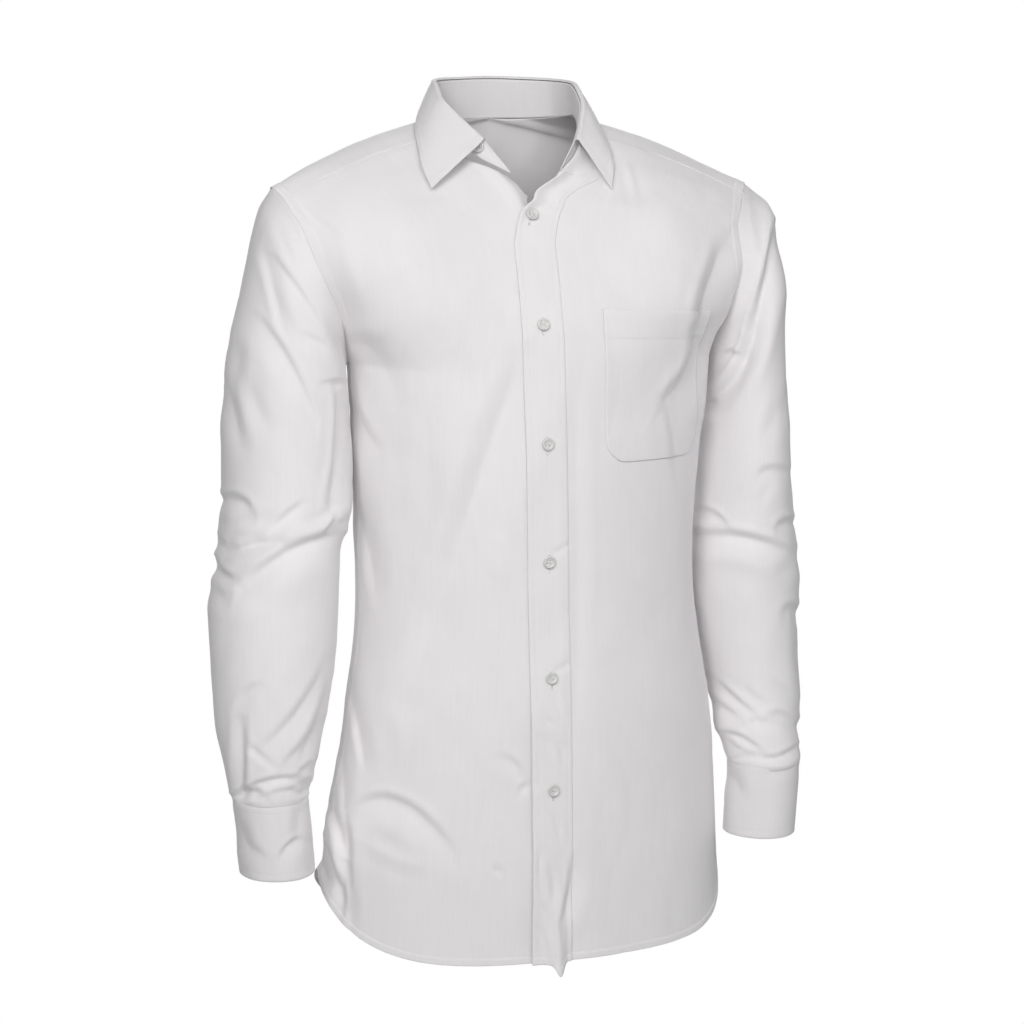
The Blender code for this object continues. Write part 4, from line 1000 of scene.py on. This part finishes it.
def armhole_ring(side):
    """The armhole, from the underarm round the front, over the shoulder and down the back."""
    rows = np.linspace(FRONT_UNDERARM, BACK_UNDERARM, DENSE_ROWS)
    sign = SIGN[side]
    across = sign * (body_column("side_x", rows) + sign * body_column("side_shift", rows))
    ring = np.stack([across, body_column("side_y", rows), body_column("side_z", rows)], -1)
    run = lengths_along(ring)
    top = np.interp(row_of("shoulder"), rows, run)
    share = turn_share()
    at = np.where(share < 0.5, share * 2 * top, top + (share - 0.5) * 2 * (run[-1] - top))
    return np.stack([np.interp(at, run, ring[:, axis]) for axis in range(3)], -1)


def sleeve_base(side):
    """Points and normals of a sleeve without creases, ring by ring, the rings' places, and its length."""
    sign = SIGN[side]
    turn = np.radians(180 - 360 * turn_share())[:, None]
    rings = [armhole_ring(side)]
    for row in SLEEVE_RINGS[side]:
        ring = dict(zip(SLEEVE_COLUMNS, row))
        outer = np.array([sign * ring["outer_x"], ring["mid_y"], ring["outer_z"]], float)
        inner = np.array([sign * ring["inner_x"], ring["mid_y"], ring["inner_z"]], float)
        reach = np.array([0.0, ring["half_depth"], 0.0])
        rings.append((outer + inner) / 2 + np.cos(turn) * (outer - inner) / 2 - np.sin(turn) * reach)
    rings = np.array(rings)
    run = lengths_along(rings.mean(1))
    at = np.maximum(spaced(run[-1], 8, 6, 1.0, SLEEVE_STEP), 0.4)
    points = smooth_through(run, rings, at)
    return points, -sign * grid_normals(points, closed=True), at, run[-1]


def sleeve_cloth(side):
    """A sleeve's outer face with its creases, its seam allowance in the armhole and its end in the cuff."""
    sign = SIGN[side]
    points, normal, at, length = sleeve_base(side)
    behind = points * (sign, 1, 1)
    facing = ease((unit(CAMERA_PLACE - points) * normal).sum(-1), -0.4, 0.05)
    out = facing * crease_relief(SLEEVE_CREASES[side], *as_seen(points))
    hidden = ease(normal[..., 1], -0.2, 0.3) * (1 - facing)
    out += hidden * crease_relief(SLEEVE_BACK_CREASES, behind[..., 0], behind[..., 2])
    out += fine_crumple(points, SLEEVE_SEEDS[side])
    out *= (ease(at, 0, 16) * ease(length - at, 0, 7))[:, None]
    points = points + normal * out[:, :, None]
    allowance = points[:1] + 5 * unit(points[:1] - points[2:3]) - 1.3 * normal[:1]
    tucked = points[-1:] + 4 * unit(points[-1:] - points[-3:-2]) - 2.4 * normal[-1:]
    whole = np.concatenate([allowance, points, tucked])
    return whole, np.concatenate([normal[:1], normal, normal[-1:]])


for side in SIDES:
    add_grid_panel("sleeve_" + side, *sleeve_cloth(side), CLOTH, cotton, closed=True)

# ---- Sleeve plackets: the band over the slit above each cuff, 26 mm wide with a pointed top. It lies on
# the sleeve's outer back, in line with the cuff's opening.
CUFF_OPENING_TURN = -45
SLIT_BAND_WIDTH, SLIT_BAND_LENGTH, SLIT_BAND_POINT = 26, 130, 14
SLIT_BAND_RISE, SLIT_BAND_CLOTH = 0.9, 0.7


def read_grid(grid, at_row, at_column):
    """A grid's values between its points."""
    r = np.clip(np.floor(at_row).astype(int), 0, grid.shape[0] - 2)
    c = np.clip(np.floor(at_column).astype(int), 0, grid.shape[1] - 2)
    u, v = (at_row - r)[..., None], (at_column - c)[..., None]
    low = grid[r, c] * (1 - v) + grid[r, c + 1] * v
    return low * (1 - u) + (grid[r + 1, c] * (1 - v) + grid[r + 1, c + 1] * v) * u


def line_on(panel, at_row, at_column):
    """Points and normals of a panel at fractional rows and columns."""
    at_row, at_column = np.broadcast_arrays(np.asarray(at_row, float), np.asarray(at_column, float))
    return read_grid(panel["points"], at_row, at_column), unit(read_grid(panel["normal"], at_row, at_column))


for side in SIDES:
    panel = panels["sleeve_" + side]
    column = np.interp((180 - CUFF_OPENING_TURN) / 360, turn_share(), np.arange(SLEEVE_SIDES))
    middle = round(column)
    from_cuff = depth_from(panel["points"][1:-1], last=True)[:, middle]
    up = spaced(SLIT_BAND_LENGTH, 4, SLIT_BAND_POINT, 1.0, 2.0)
    at_row = 1 + np.interp(up, from_cuff[::-1], np.arange(len(from_cuff))[::-1])
    width = np.linalg.norm(panel["points"][:, middle + 1] - panel["points"][:, middle], axis=1)
    half = SLIT_BAND_WIDTH / 2 / np.interp(at_row, np.arange(len(width)), width)
    half = half * np.clip((SLIT_BAND_LENGTH - up) / SLIT_BAND_POINT, 0.03, 1)
    share = np.linspace(-1, 1, 21)
    at_column = column + half[:, None] * share[None, :]
    at_row = np.broadcast_to(at_row[:, None], at_column.shape)
    points, towards = line_on(panel, at_row, at_column)
    swell = SLIT_BAND_RISE - 0.3 * (1 - ease(1 - np.abs(share), 0, 0.15))
    points = points + towards * swell[None, :, None]
    add_grid_panel("sleeve_placket_" + side, points, towards, SLIT_BAND_CLOTH, cotton)

# ---- Cuffs: an interlined band 68 mm high, wrapped once round the wrist, whose end laps over its start and
# is buttoned there. Stitched 6 mm inside its lower edge and below its seam.
CUFF_HEIGHT, CUFF_LEAN, CUFF_LAP, CUFF_LIFT = 68, 5, 22, 2.1
CUFF_CORNER, CUFF_RADIUS = 13, 38
CUFF_STITCHES = (1.8, 7.5, 6)  # two rows below the seam and one above the lower edge
CUFF_CLOTH = 1.1
CUFF_CREASES = (
    (-256, -373, -252, -392, -246, -403, 6, -2.6, 0),
    (-249, -401, -240, -405, -230, -413, 5, -1.2, 0.2),
    (-217, -412, -207, -398, -195, -394, 4, -2.6, 0.3),
    (-199, -364, -200, -379, -200, -396, 5, -2.2, 0),
    (203, -330, 210, -341, 216, -356, 6, -2.2, 0),
    (241, -331, 251, -326, 267, -324, 4, -1.8, 0.3),
)
# The interlined poplin of the cuffs and collar. Its base colour is darker than the body's poplin, which is
# painted shade on these parts, not a colour of the cloth itself.
interlined_cotton_painted_shade = poplin("white poplin, interlined, painted shade", 0.78, 0.03, (0.83, 0.812, 0.822))


def cuff_oval(side, turn, share, lift):
    """A point of a cuff: turn in radians, share from the seam (0) to the bottom edge (1)."""
    sign = SIGN[side]
    seam = dict(zip(SLEEVE_COLUMNS, SLEEVE_RINGS[side][-1]))
    half_width = (seam["outer_x"] - seam["inner_x"]) / 2 - 1 + lift
    half_depth = seam["half_depth"] - 1 + lift
    middle_x = (seam["outer_x"] + seam["inner_x"]) / 2 - CUFF_LEAN * share
    x = sign * (middle_x + half_width * np.cos(turn))
    y = seam["mid_y"] - 2 * share - half_depth * np.sin(turn)
    z = seam["outer_z"] - 0.4 - CUFF_HEIGHT * share + 0 * turn
    return np.stack([x, y, z], -1)


for side in SIDES:
    sign = SIGN[side]
    start = math.radians(CUFF_OPENING_TURN) - CUFF_LAP / 2 / CUFF_RADIUS
    turn = np.linspace(start, start + 2 * math.pi + CUFF_LAP / CUFF_RADIUS, 180)
    from_end = np.minimum(turn - turn[0], turn[-1] - turn) * CUFF_RADIUS
    corner = CUFF_CORNER * (1 - np.sqrt(1 - (1 - np.clip(from_end / CUFF_CORNER, 0, 1)) ** 2))
    share = np.linspace(0, 1, 42)[:, None] * (1 - corner / CUFF_HEIGHT)[None, :]
    lift = np.broadcast_to((CUFF_LIFT * ease(turn, turn[-1] - 1.15, turn[-1] - 0.65))[None, :], share.shape)
    turns = np.broadcast_to(turn[None, :], share.shape)
    base = cuff_oval(side, turns, share, lift)
    base_normal = sign * grid_normals(base)
    down = CUFF_HEIGHT * share
    bottom = CUFF_HEIGHT * share[-1:] - down
    out = 0.55 + crease_relief(CUFF_CREASES, *as_seen(base)) + 0.35 * soft_waves(base, 51, 60)
    for line in (down - CUFF_STITCHES[0], down - CUFF_STITCHES[1], bottom - CUFF_STITCHES[2]):
        out = out - 0.25 * bell(line, GROOVE)
    points = base + base_normal * out[:, :, None]
    points[0, :, 2] += 0.8
    add_grid_panel("cuff_" + side, points, base_normal, CUFF_CLOTH, interlined_cotton_painted_shade)

# ---- Collar: an interlined stand on the neckline and a leaf that turns over its top, with points 67 mm
# long. The leaf is stitched 5 mm inside its edge.
COLLAR_STATIONS = {
    # name, then x, y and z of the stand's foot, of the fold and of the leaf's edge
    "left": (
        ("end", 33, -122, -52, 51, -112, -23, 80, -131, -66),
        ("front", 53, -106, -35, 60, -97, -4, 86, -117, -42),
        ("side front", 63, -84, -15, 66, -80, 16, 87, -86, -15),
        ("side", 67, -56, 0, 65, -56, 31, 81, -50, 3),
        ("side back", 59, -24, 1, 55, -26, 35, 69, -8, 0),
        ("near back", 31, -5, 0, 29, -10, 37, 41, 11, -5),
        ("back", 0, 0, 0, 0, -5, 38, 0, 17, -7),
    ),
    "right": (
        ("end", -13, -122, -52, -35, -111, -22, -90, -131, -64),
        ("front", -43, -106, -35, -55, -96, 0, -95, -115, -42),
        ("side front", -64, -84, -15, -66, -78, 18, -93, -86, -16),
        ("side", -67, -56, 0, -65, -56, 31, -82, -50, 3),
        ("side back", -59, -24, 1, -55, -26, 35, -69, -8, 0),
        ("near back", -31, -5, 0, -29, -10, 37, -41, 11, -5),
        ("back", 0, 0, 0, 0, -5, 38, 0, 17, -7),
    ),
}
STAND_OVER_LAP = 4.0
STAND_CLOTH, LEAF_CLOTH = 1.2, 1.1
COLLAR_SAMPLES = 330
# The leaf's section: the share of the way from fold to edge, and how far it stands out and up there.
LEAF_PROFILE = np.array(
    [(0, 0.4, 0.4), (0, 1.8, 1.6), (0, 3.6, 1.2), (0.12, 4.0, 0), (0.45, 3.0, 0), (1, 0, 0)], float
)
LEAF_PLACES = (0, 0.02, 0.06, 0.16, 0.48, 1)
LEAF_STITCH = 5


def collar_rows():
    """The stand's foot, the fold and the leaf's edge, evenly from the wearer's right end to the left end."""
    table = COLLAR_STATIONS["right"] + COLLAR_STATIONS["left"][-2::-1]
    values = np.array([row[1:] for row in table], float)
    run = lengths_along(values[:, 3:6])
    values = smooth_through(run, values, np.linspace(0, run[-1], COLLAR_SAMPLES))
    return values[:, :3], values[:, 3:6], values[:, 6:]


base, fold, edge = collar_rows()
up = unit(fold - base)
over_lap = np.clip((base[:, :1] - 20) / 30, 0, 1) * np.clip((-40 - base[:, 1:2]) / 40, 0, 1)
low, high = base + (1.2 + STAND_OVER_LAP * over_lap) * up, fold - 0.8 * up
share = np.linspace(0, 1, 26)[:, None, None]
points = low * (1 - share) + high * share
base_normal = -grid_normals(points)
points = points + base_normal * 0.25 * soft_waves(points, 61, 50)[:, :, None]
add_grid_panel("collar_stand", points, None, STAND_CLOTH, interlined_cotton_painted_shade, facing=base_normal)

outward = unit(np.cross((0.0, 0.0, 1.0), np.gradient(fold, axis=0)))
places = [np.linspace(0, 0.1, 9)[:-1], np.linspace(0.1, 0.86, 22)[:-1], np.linspace(0.86, 1, 10)]
places = np.concatenate(places)
section = smooth_through(LEAF_PLACES, LEAF_PROFILE, places)[:, None, :]
points = fold + section[..., :1] * (edge - fold) + section[..., 1:2] * outward + section[..., 2:] * (0, 0, 1)
base_normal = -grid_normals(points)
from_edge = depth_from(points, last=True)
across_leaf = np.linalg.norm(points - points[:, :1], axis=2), np.linalg.norm(points - points[:, -1:], axis=2)
from_rim = np.minimum(from_edge, np.minimum(*across_leaf))
out = 0.5 - 0.3 * bell(from_rim - LEAF_STITCH, GROOVE) + 0.3 * soft_waves(points, 67, 55)
points = points + base_normal * (out * ease(places, 0, 0.12)[:, None])[:, :, None]
add_grid_panel("collar_leaf", points, None, LEAF_CLOTH, interlined_cotton_painted_shade, facing=base_normal, from_edge=from_edge)

# ---- Stitches: white cotton thread, eleven to the inch, in rows along the seams and edges. The rows of
# each panel are one piece, whose stitches are small spindles half sunk in the cloth.
STITCH_PITCH, STITCH_LENGTH, STITCH_RADIUS = 2.4, 1.9, 0.16
SIDE_STITCH, YOKE_STITCH, POCKET_STITCH = 6, 2.6, 2.0
thread = bpy.data.materials.new("white thread")
thread.use_nodes = True
thread_tree = thread.node_tree
thread_place = add_node(thread_tree, "TexCoord").outputs["Object"]
twist = add_node(thread_tree, "TexWave", {"Vector": thread_place, "Scale": 900}, bands_direction="DIAGONAL")
twist_inputs = {"Height": twist.outputs["Fac"], "Strength": 0.4, "Distance": 0.00005}
twist_bump = add_node(thread_tree, "Bump", twist_inputs)
thread_tree.links.new(twist_bump.outputs[0], thread_tree.nodes["Principled BSDF"].inputs["Normal"])
thread_tree.nodes["Principled BSDF"].inputs["Base Color"].default_value = (0.84, 0.84, 0.83, 1)
thread_tree.nodes["Principled BSDF"].inputs["Roughness"].default_value = 0.6


def threads(centres, ways, outs, length, radius):
    """Short round-ended threads: a four-sided spindle of two rings and two tips for each centre."""
    sides = 4
    turn = np.linspace(0, 2 * math.pi, sides, endpoint=False)
    ring = np.stack([0 * turn, np.cos(turn), np.sin(turn)], -1)
    shape = np.concatenate([[(-0.5, 0, 0)], ring - (0.3, 0, 0), ring + (0.3, 0, 0), [(0.5, 0, 0)]])
    k = 1 + np.arange(sides)
    n = 1 + k % sides
    quads = np.concatenate([
        np.stack([0 * k, n, k, k], 1),
        np.stack([k, n, sides + n, sides + k], 1),
        np.stack([0 * k + 2 * sides + 1, sides + k, sides + n, sides + n], 1),
    ])
    side = unit(np.cross(outs, ways))
    size = np.array([length, radius, radius])
    local = shape * size
    points = (
        centres[:, None, :]
        + local[None, :, :1] * ways[:, None, :]
        + local[None, :, 1:2] * side[:, None, :]
        + local[None, :, 2:] * outs[:, None, :]
    )
    faces = quads[None] + len(shape) * np.arange(len(centres))[:, None, None]
    return points.reshape(-1, 3), faces.reshape(-1, 4)


def stitch_places(line, normal, pitch):
    """Evenly spaced places along a line of points, with the line's direction and the cloth's normal there."""
    run = lengths_along(line)
    at = np.arange(pitch / 2, run[-1], pitch)
    centre = np.stack([np.interp(at, run, line[:, k]) for k in range(3)], -1)
    out = unit(np.stack([np.interp(at, run, normal[:, k]) for k in range(3)], -1))
    way = unit(np.stack([np.interp(at, run, np.gradient(line[:, k])) for k in range(3)], -1))
    way = unit(way - out * (way * out).sum(-1, keepdims=True))
    return centre + 0.04 * out, way, out


def add_threads(name, parts):
    """One piece of many threads."""
    count, corners, faces = 0, [], []
    for points, quads in parts:
        corners.append(points)
        faces.append(quads + count)
        count += len(points)
    corners, faces = np.concatenate(corners), np.concatenate(faces)
    pieces[name] = add_small_piece(name, corners, faces, thread)


def sewn(lines, pitch=STITCH_PITCH, length=STITCH_LENGTH, radius=STITCH_RADIUS):
    """Stitches along lines, each of them points with normals."""
    parts = []
    for line, normal in lines:
        parts.append(threads(*stitch_places(line, normal, pitch), length, radius))
    return parts


def row_inside(panel, inset, last=False):
    """In each column, the fractional row at a distance from the panel's first (or last) row."""
    depth = depth_from(panel["points"], last)
    at = place_in((depth[::-1] if last else depth).T, np.full((depth.shape[1], 1), inset))[:, 0]
    return len(depth) - 1 - at if last else at


seams = {}
for side in SIDES:
    panel = panels["front_" + side]
    columns = panel["points"].shape[1]
    above = np.flatnonzero(panel["rows"] > FRONT_UNDERARM + 0.1)
    below = np.flatnonzero(panel["rows"] < FRONT_UNDERARM - 0.05)
    seams["front_" + side] = [
        line_on(panel, above, columns - 1 - FELL_STITCH),
        line_on(panel, below, columns - 1 - SIDE_STITCH),
        line_on(panel, row_inside(panel, HEM_DEPTH)[:-1], np.arange(columns - 1)),
    ]
panel = panels["back"]
columns = panel["points"].shape[1]
above = np.flatnonzero(panel["rows"] < BACK_UNDERARM - 0.1)
seams["back"] = [
    line_on(panel, above, columns - 1 - FELL_STITCH),
    line_on(panel, above, FELL_STITCH),
    line_on(panel, row_inside(panel, HEM_DEPTH, last=True)[2:-2], np.arange(2, columns - 2)),
]
seams["yoke"] = []
for side in ("left", "right"):
    panel = panels["yoke_" + side]
    rows, columns = panel["points"].shape[:2]
    every = np.arange(columns - 1)
    seams["yoke"] += [
        line_on(panel, row_inside(panel, YOKE_STITCH)[:-1], every),
        line_on(panel, row_inside(panel, YOKE_STITCH, last=True)[:-1], every),
        line_on(panel, np.arange(rows), columns - 1 - FELL_STITCH),
    ]
panel = panels["front_placket"]
rows, columns = panel["points"].shape[:2]
placket_step = PLACKET_WIDTH / (columns - 1)
seams["front_placket"] = [
    line_on(panel, np.arange(rows), PLACKET_STITCH / placket_step),
    line_on(panel, np.arange(rows), (PLACKET_WIDTH - PLACKET_STITCH) / placket_step),
    line_on(panel, row_inside(panel, HEM_DEPTH), np.arange(columns)),
]
panel = panels["pocket"]
rows, columns = panel["points"].shape[:2]
band_row = np.interp(hem_line, panel["up"], np.arange(rows))
widths = np.linalg.norm(panel["points"][:, -1] - panel["points"][:, 0], axis=1)
inside = np.minimum(POCKET_STITCH / (widths / (columns - 1)), 12)
low_row = int(POCKET_STITCH)  # its lowest rows are 1 mm apart
upper = np.arange(low_row, rows)
seams["pocket"] = [
    line_on(panel, upper, inside[upper]),
    line_on(panel, upper, columns - 1 - inside[upper]),
    line_on(panel, low_row, np.linspace(inside[low_row], columns - 1 - inside[low_row], columns)),
    line_on(panel, band_row, np.linspace(1, columns - 2, columns)),
]
for side in SIDES:
    panel = panels["cuff_" + side]
    rows, columns = panel["points"].shape[:2]
    step = CUFF_HEIGHT / (rows - 1)
    inner = np.arange(3, columns - 3)
    seams["cuff_" + side] = [
        line_on(panel, CUFF_STITCHES[0] / step, inner),
        line_on(panel, CUFF_STITCHES[1] / step, inner),
        line_on(panel, rows - 1 - CUFF_STITCHES[2] / step, inner),
        line_on(panel, np.arange(2, rows - 3), columns - 4),
    ]
    panel = panels["sleeve_placket_" + side]
    rows, columns = panel["points"].shape[:2]
    seams["sleeve_placket_" + side] = [
        line_on(panel, np.arange(rows - 6), 2), line_on(panel, np.arange(rows - 6), columns - 3)
    ]
panel = panels["collar_leaf"]
rows, columns = panel["points"].shape[:2]
edge_row = rows - 1 - place_in(panel["from_edge"][::-1].T, np.full((columns, 1), LEAF_STITCH))[:, 0]
near_end = np.linalg.norm(panel["points"] - panel["points"][:, :1], axis=2)
far_end = np.linalg.norm(panel["points"] - panel["points"][:, -1:], axis=2)
fall = np.arange(10, rows)
start_column = place_in(near_end, np.full((rows, 1), LEAF_STITCH))[:, 0]
end_column = columns - 1 - place_in(far_end[:, ::-1], np.full((rows, 1), LEAF_STITCH))[:, 0]
along_edge = (np.arange(columns) > start_column[-1]) & (np.arange(columns) < end_column[-1])
down = fall[fall < edge_row[4]]
seams["collar_leaf"] = [
    line_on(panel, edge_row[along_edge], np.flatnonzero(along_edge)),
    line_on(panel, down, start_column[down]),
    line_on(panel, down, end_column[down]),
]
panel = panels["collar_stand"]
rows, columns = panel["points"].shape[:2]
seams["collar_stand"] = [line_on(panel, 1.5, np.arange(4, columns - 4))]
for name, lines in seams.items():
    add_threads("stitches_" + name, sewn(lines))

# ---- Buttonholes: upright slits 14.5 mm long in the placket, corded round with close satin stitches. Each
# hangs from its button, so its middle lies a little lower.
HOLE_LENGTH, HOLE_DROP = 14.5, 1.6
parts = []
panel = panels["front_placket"]
rows, columns = panel["points"].shape[:2]
down = depth_from(panel["points"])[:, columns // 2]
button_places = []
for level in BUTTON_LEVELS:
    row = row_at_level(np.array([level]))
    at_row = np.interp(row, panel["rows"], np.arange(rows))[0]
    hole_column = -opening_start("left", row)[0, 0] / placket_step
    button_places.append(line_on(panel, at_row, hole_column))
    centre = np.interp(at_row, np.arange(rows), down) - HOLE_DROP
    up = np.arange(-HOLE_LENGTH / 2, HOLE_LENGTH / 2, 0.42)
    at = np.interp(centre + up, down, np.arange(rows))
    for shift in (-0.85, 0.85):
        place, out = line_on(panel, at, hole_column + shift / placket_step)
        way = unit(np.cross(out, np.gradient(place, axis=0)))
        parts.append(threads(place + 0.12 * out, way, out, 1.35, 0.24))
    for end in (-HOLE_LENGTH / 2 - 0.5, HOLE_LENGTH / 2 + 0.3):
        spread = np.linspace(-0.9, 0.9, 5) / placket_step
        place, out = line_on(panel, np.interp(centre + end, down, np.arange(rows)), hole_column + spread)
        way = np.broadcast_to(unit(panel["points"][-1, 0] - panel["points"][0, 0]), place.shape)
        way = unit(way - out * (way * out).sum(-1, keepdims=True))
        parts.append(threads(place + 0.15 * out, way, out, 1.6, 0.26))
add_threads("buttonholes", parts)

# ---- Buttons: white polyester resin turned to 11.4 mm with a raised rim, a dish and four holes, sewn on
# with crossed threads and a short shank. One more on the stand and one on each cuff.
BUTTON_RADIUS, BUTTON_THICKNESS, BUTTON_GAP = 5.7, 2.6, 0.3
BUTTON_PROFILE = (
    # radius as a share of the button's, height as a share of its thickness, from the face's middle round
    (0.0, 0.66), (0.45, 0.66), (0.58, 0.7), (0.68, 0.9), (0.8, 1.0), (0.92, 0.93), (1.0, 0.62), (0.96, 0.36),
    (0.85, 0.18), (0.6, 0.03), (0.3, 0.0), (0.0, 0.0),
)
BUTTON_SIDES, DISH_RINGS = 36, 14
HOLE_PLACE, HOLE_RADIUS, HOLE_DEPTH = 1.25, 0.62, 1.3
STAND_BUTTON_SHARE, STAND_BUTTON_ROW = 2 / 32, 10
resin = bpy.data.materials.new("white resin")
resin.use_nodes = True
resin_tree = resin.node_tree
resin_shader = resin_tree.nodes["Principled BSDF"]
resin_place = add_node(resin_tree, "TexCoord").outputs["Object"]
cloud = add_node(resin_tree, "TexNoise", {"Vector": resin_place, "Scale": 420})
resin_tone = add_node(resin_tree, "Mix", data_type="RGBA")
resin_tree.links.new(cloud.outputs["Fac"], resin_tone.inputs[0])
resin_tone.inputs[6].default_value = (0.66, 0.66, 0.645, 1)
resin_tone.inputs[7].default_value = (0.74, 0.74, 0.73, 1)
resin_tree.links.new(resin_tone.outputs[2], resin_shader.inputs["Base Color"])
resin_shader.inputs["Roughness"].default_value = 0.22
resin_shader.inputs["Coat Weight"].default_value = 0.3


def button_mesh():
    """Rings round an axis along +Z: the profile carried round, with four pits sunk in the dish."""
    profile = np.array(BUTTON_PROFILE)
    run = np.linspace(0, 1, len(profile))
    fine = smooth_through(run, profile, np.linspace(0, 1, 34))
    turn = np.linspace(0, 2 * math.pi, BUTTON_SIDES, endpoint=False)
    radius, height = fine[1:-1, :1] * BUTTON_RADIUS, fine[1:-1, 1:] * BUTTON_THICKNESS
    points = np.stack([radius * np.cos(turn), radius * np.sin(turn), height + 0 * turn], -1)
    hole = np.hypot(np.abs(points[..., 0]) - HOLE_PLACE, np.abs(points[..., 1]) - HOLE_PLACE)
    in_dish = np.arange(len(points))[:, None] < DISH_RINGS
    points[..., 2] -= in_dish * HOLE_DEPTH * (1 - ease(hole, HOLE_RADIUS - 0.2, HOLE_RADIUS + 0.12))
    tips = np.array([[0, 0, fine[0, 1] * BUTTON_THICKNESS], [0, 0, 0]])
    count = points.shape[0] * BUTTON_SIDES
    k = np.arange(BUTTON_SIDES)
    n = (k + 1) % BUTTON_SIDES
    last = count - BUTTON_SIDES
    quads = grid_faces(points.shape[0], BUTTON_SIDES, closed=True)[:, ::-1]
    top, foot = np.full_like(k, count), np.full_like(k, count + 1)
    fans = [np.stack([top, k, n, n], 1), np.stack([foot, last + n, last + k, last + k], 1)]
    return np.concatenate([points.reshape(-1, 3), tips]), np.concatenate([quads, *fans])


def sew_button(name, place, out):
    """A button on its place, its axis along the cloth's normal, with its threads as a piece of its own."""
    out = unit(np.asarray(out, float))
    side = unit(np.cross((0.0, 0.0, 1.0), out))
    turned = np.array([side, np.cross(out, side), out])
    points, faces = button_mesh()
    base = np.asarray(place) + BUTTON_GAP * out
    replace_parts(add_small_piece(name, points @ turned + base, faces, resin), name)
    level = BUTTON_PROFILE[0][1] * BUTTON_THICKNESS
    low, high = level + 0.1, level + 0.25
    centres = np.array([[0, 0.35, low], [0, -0.35, low], [0.35, 0, high], [-0.35, 0, high]])
    ways = np.array([[1, 1, 0], [1, 1, 0], [1, -1, 0], [1, -1, 0]]) / math.sqrt(2)
    crossed = threads(centres @ turned + base, ways @ turned, np.broadcast_to(out, (4, 3)), 3.6, 0.22)
    shank = threads((base - 0.1 * out)[None], out[None], side[None], 2.4, 0.9)
    add_threads("thread_" + name, [crossed, shank])


for number, (place, out) in enumerate(button_places, 1):
    name = f"button_front_{number}"
    box_middle = np.array(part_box(name)).mean(0) / MM
    place = place + out * max(0.2, ((box_middle - place) @ out) - BUTTON_THICKNESS / 2 - BUTTON_GAP)
    sew_button(name, place, out)
station = round(STAND_BUTTON_SHARE * (COLLAR_SAMPLES - 1))
sew_button("button_stand", *line_on(panels["collar_stand"], STAND_BUTTON_ROW, station))
for side in SIDES:
    panel = panels["cuff_" + side]
    rows, columns = panel["points"].shape[:2]
    column = (columns - 1) * (1 - CUFF_LAP / 2 / (2 * math.pi * CUFF_RADIUS + CUFF_LAP))
    place, out = line_on(panel, (rows - 1) / 2, column)
    sew_button("button_cuff_" + side, place, out)

# ---- The flat cut of each panel: its box and its area, all round on a tube, without allowances. Each is
# stated with what holds it and what it rests on.
SHEETS = {
    # piece: width, length, area in square metres, how it is held, what carries it
    "front_right": (0.29, 0.78, 0.175, "hung", ["yoke"]),
    "front_left": (0.31, 0.78, 0.185, "hung", ["yoke"]),
    "front_placket": (0.038, 0.74, 0.028, "laid", ["front_left"]),
    "pocket": (0.118, 0.142, 0.0165, "laid", ["front_left"]),
    "back": (0.48, 0.72, 0.31, "hung", ["yoke"]),
    "yoke": (0.45, 0.22, 0.066, "draped", ["collar_stand"]),
    "sleeve_right": (0.39, 0.58, 0.181, "hung", ["yoke"]),
    "sleeve_left": (0.37, 0.58, 0.169, "hung", ["yoke"]),
    "sleeve_placket_right": (0.026, 0.13, 0.0032, "laid", ["sleeve_right"]),
    "sleeve_placket_left": (0.026, 0.13, 0.0032, "laid", ["sleeve_left"]),
    "cuff_right": (0.26, 0.068, 0.0175, "hung", ["sleeve_right"]),
    "cuff_left": (0.26, 0.068, 0.0175, "hung", ["sleeve_left"]),
    "collar_stand": (0.37, 0.034, 0.0105, "stretched", ["yoke"]),
    "collar_leaf": (0.46, 0.062, 0.0195, "folded", ["collar_stand"]),
}
for name, (width, length, area, held, carried) in SHEETS.items():
    extra = [pieces["stitches_" + name]] if "stitches_" + name in pieces else []
    if name == "front_placket":
        extra.append(pieces["buttonholes"])
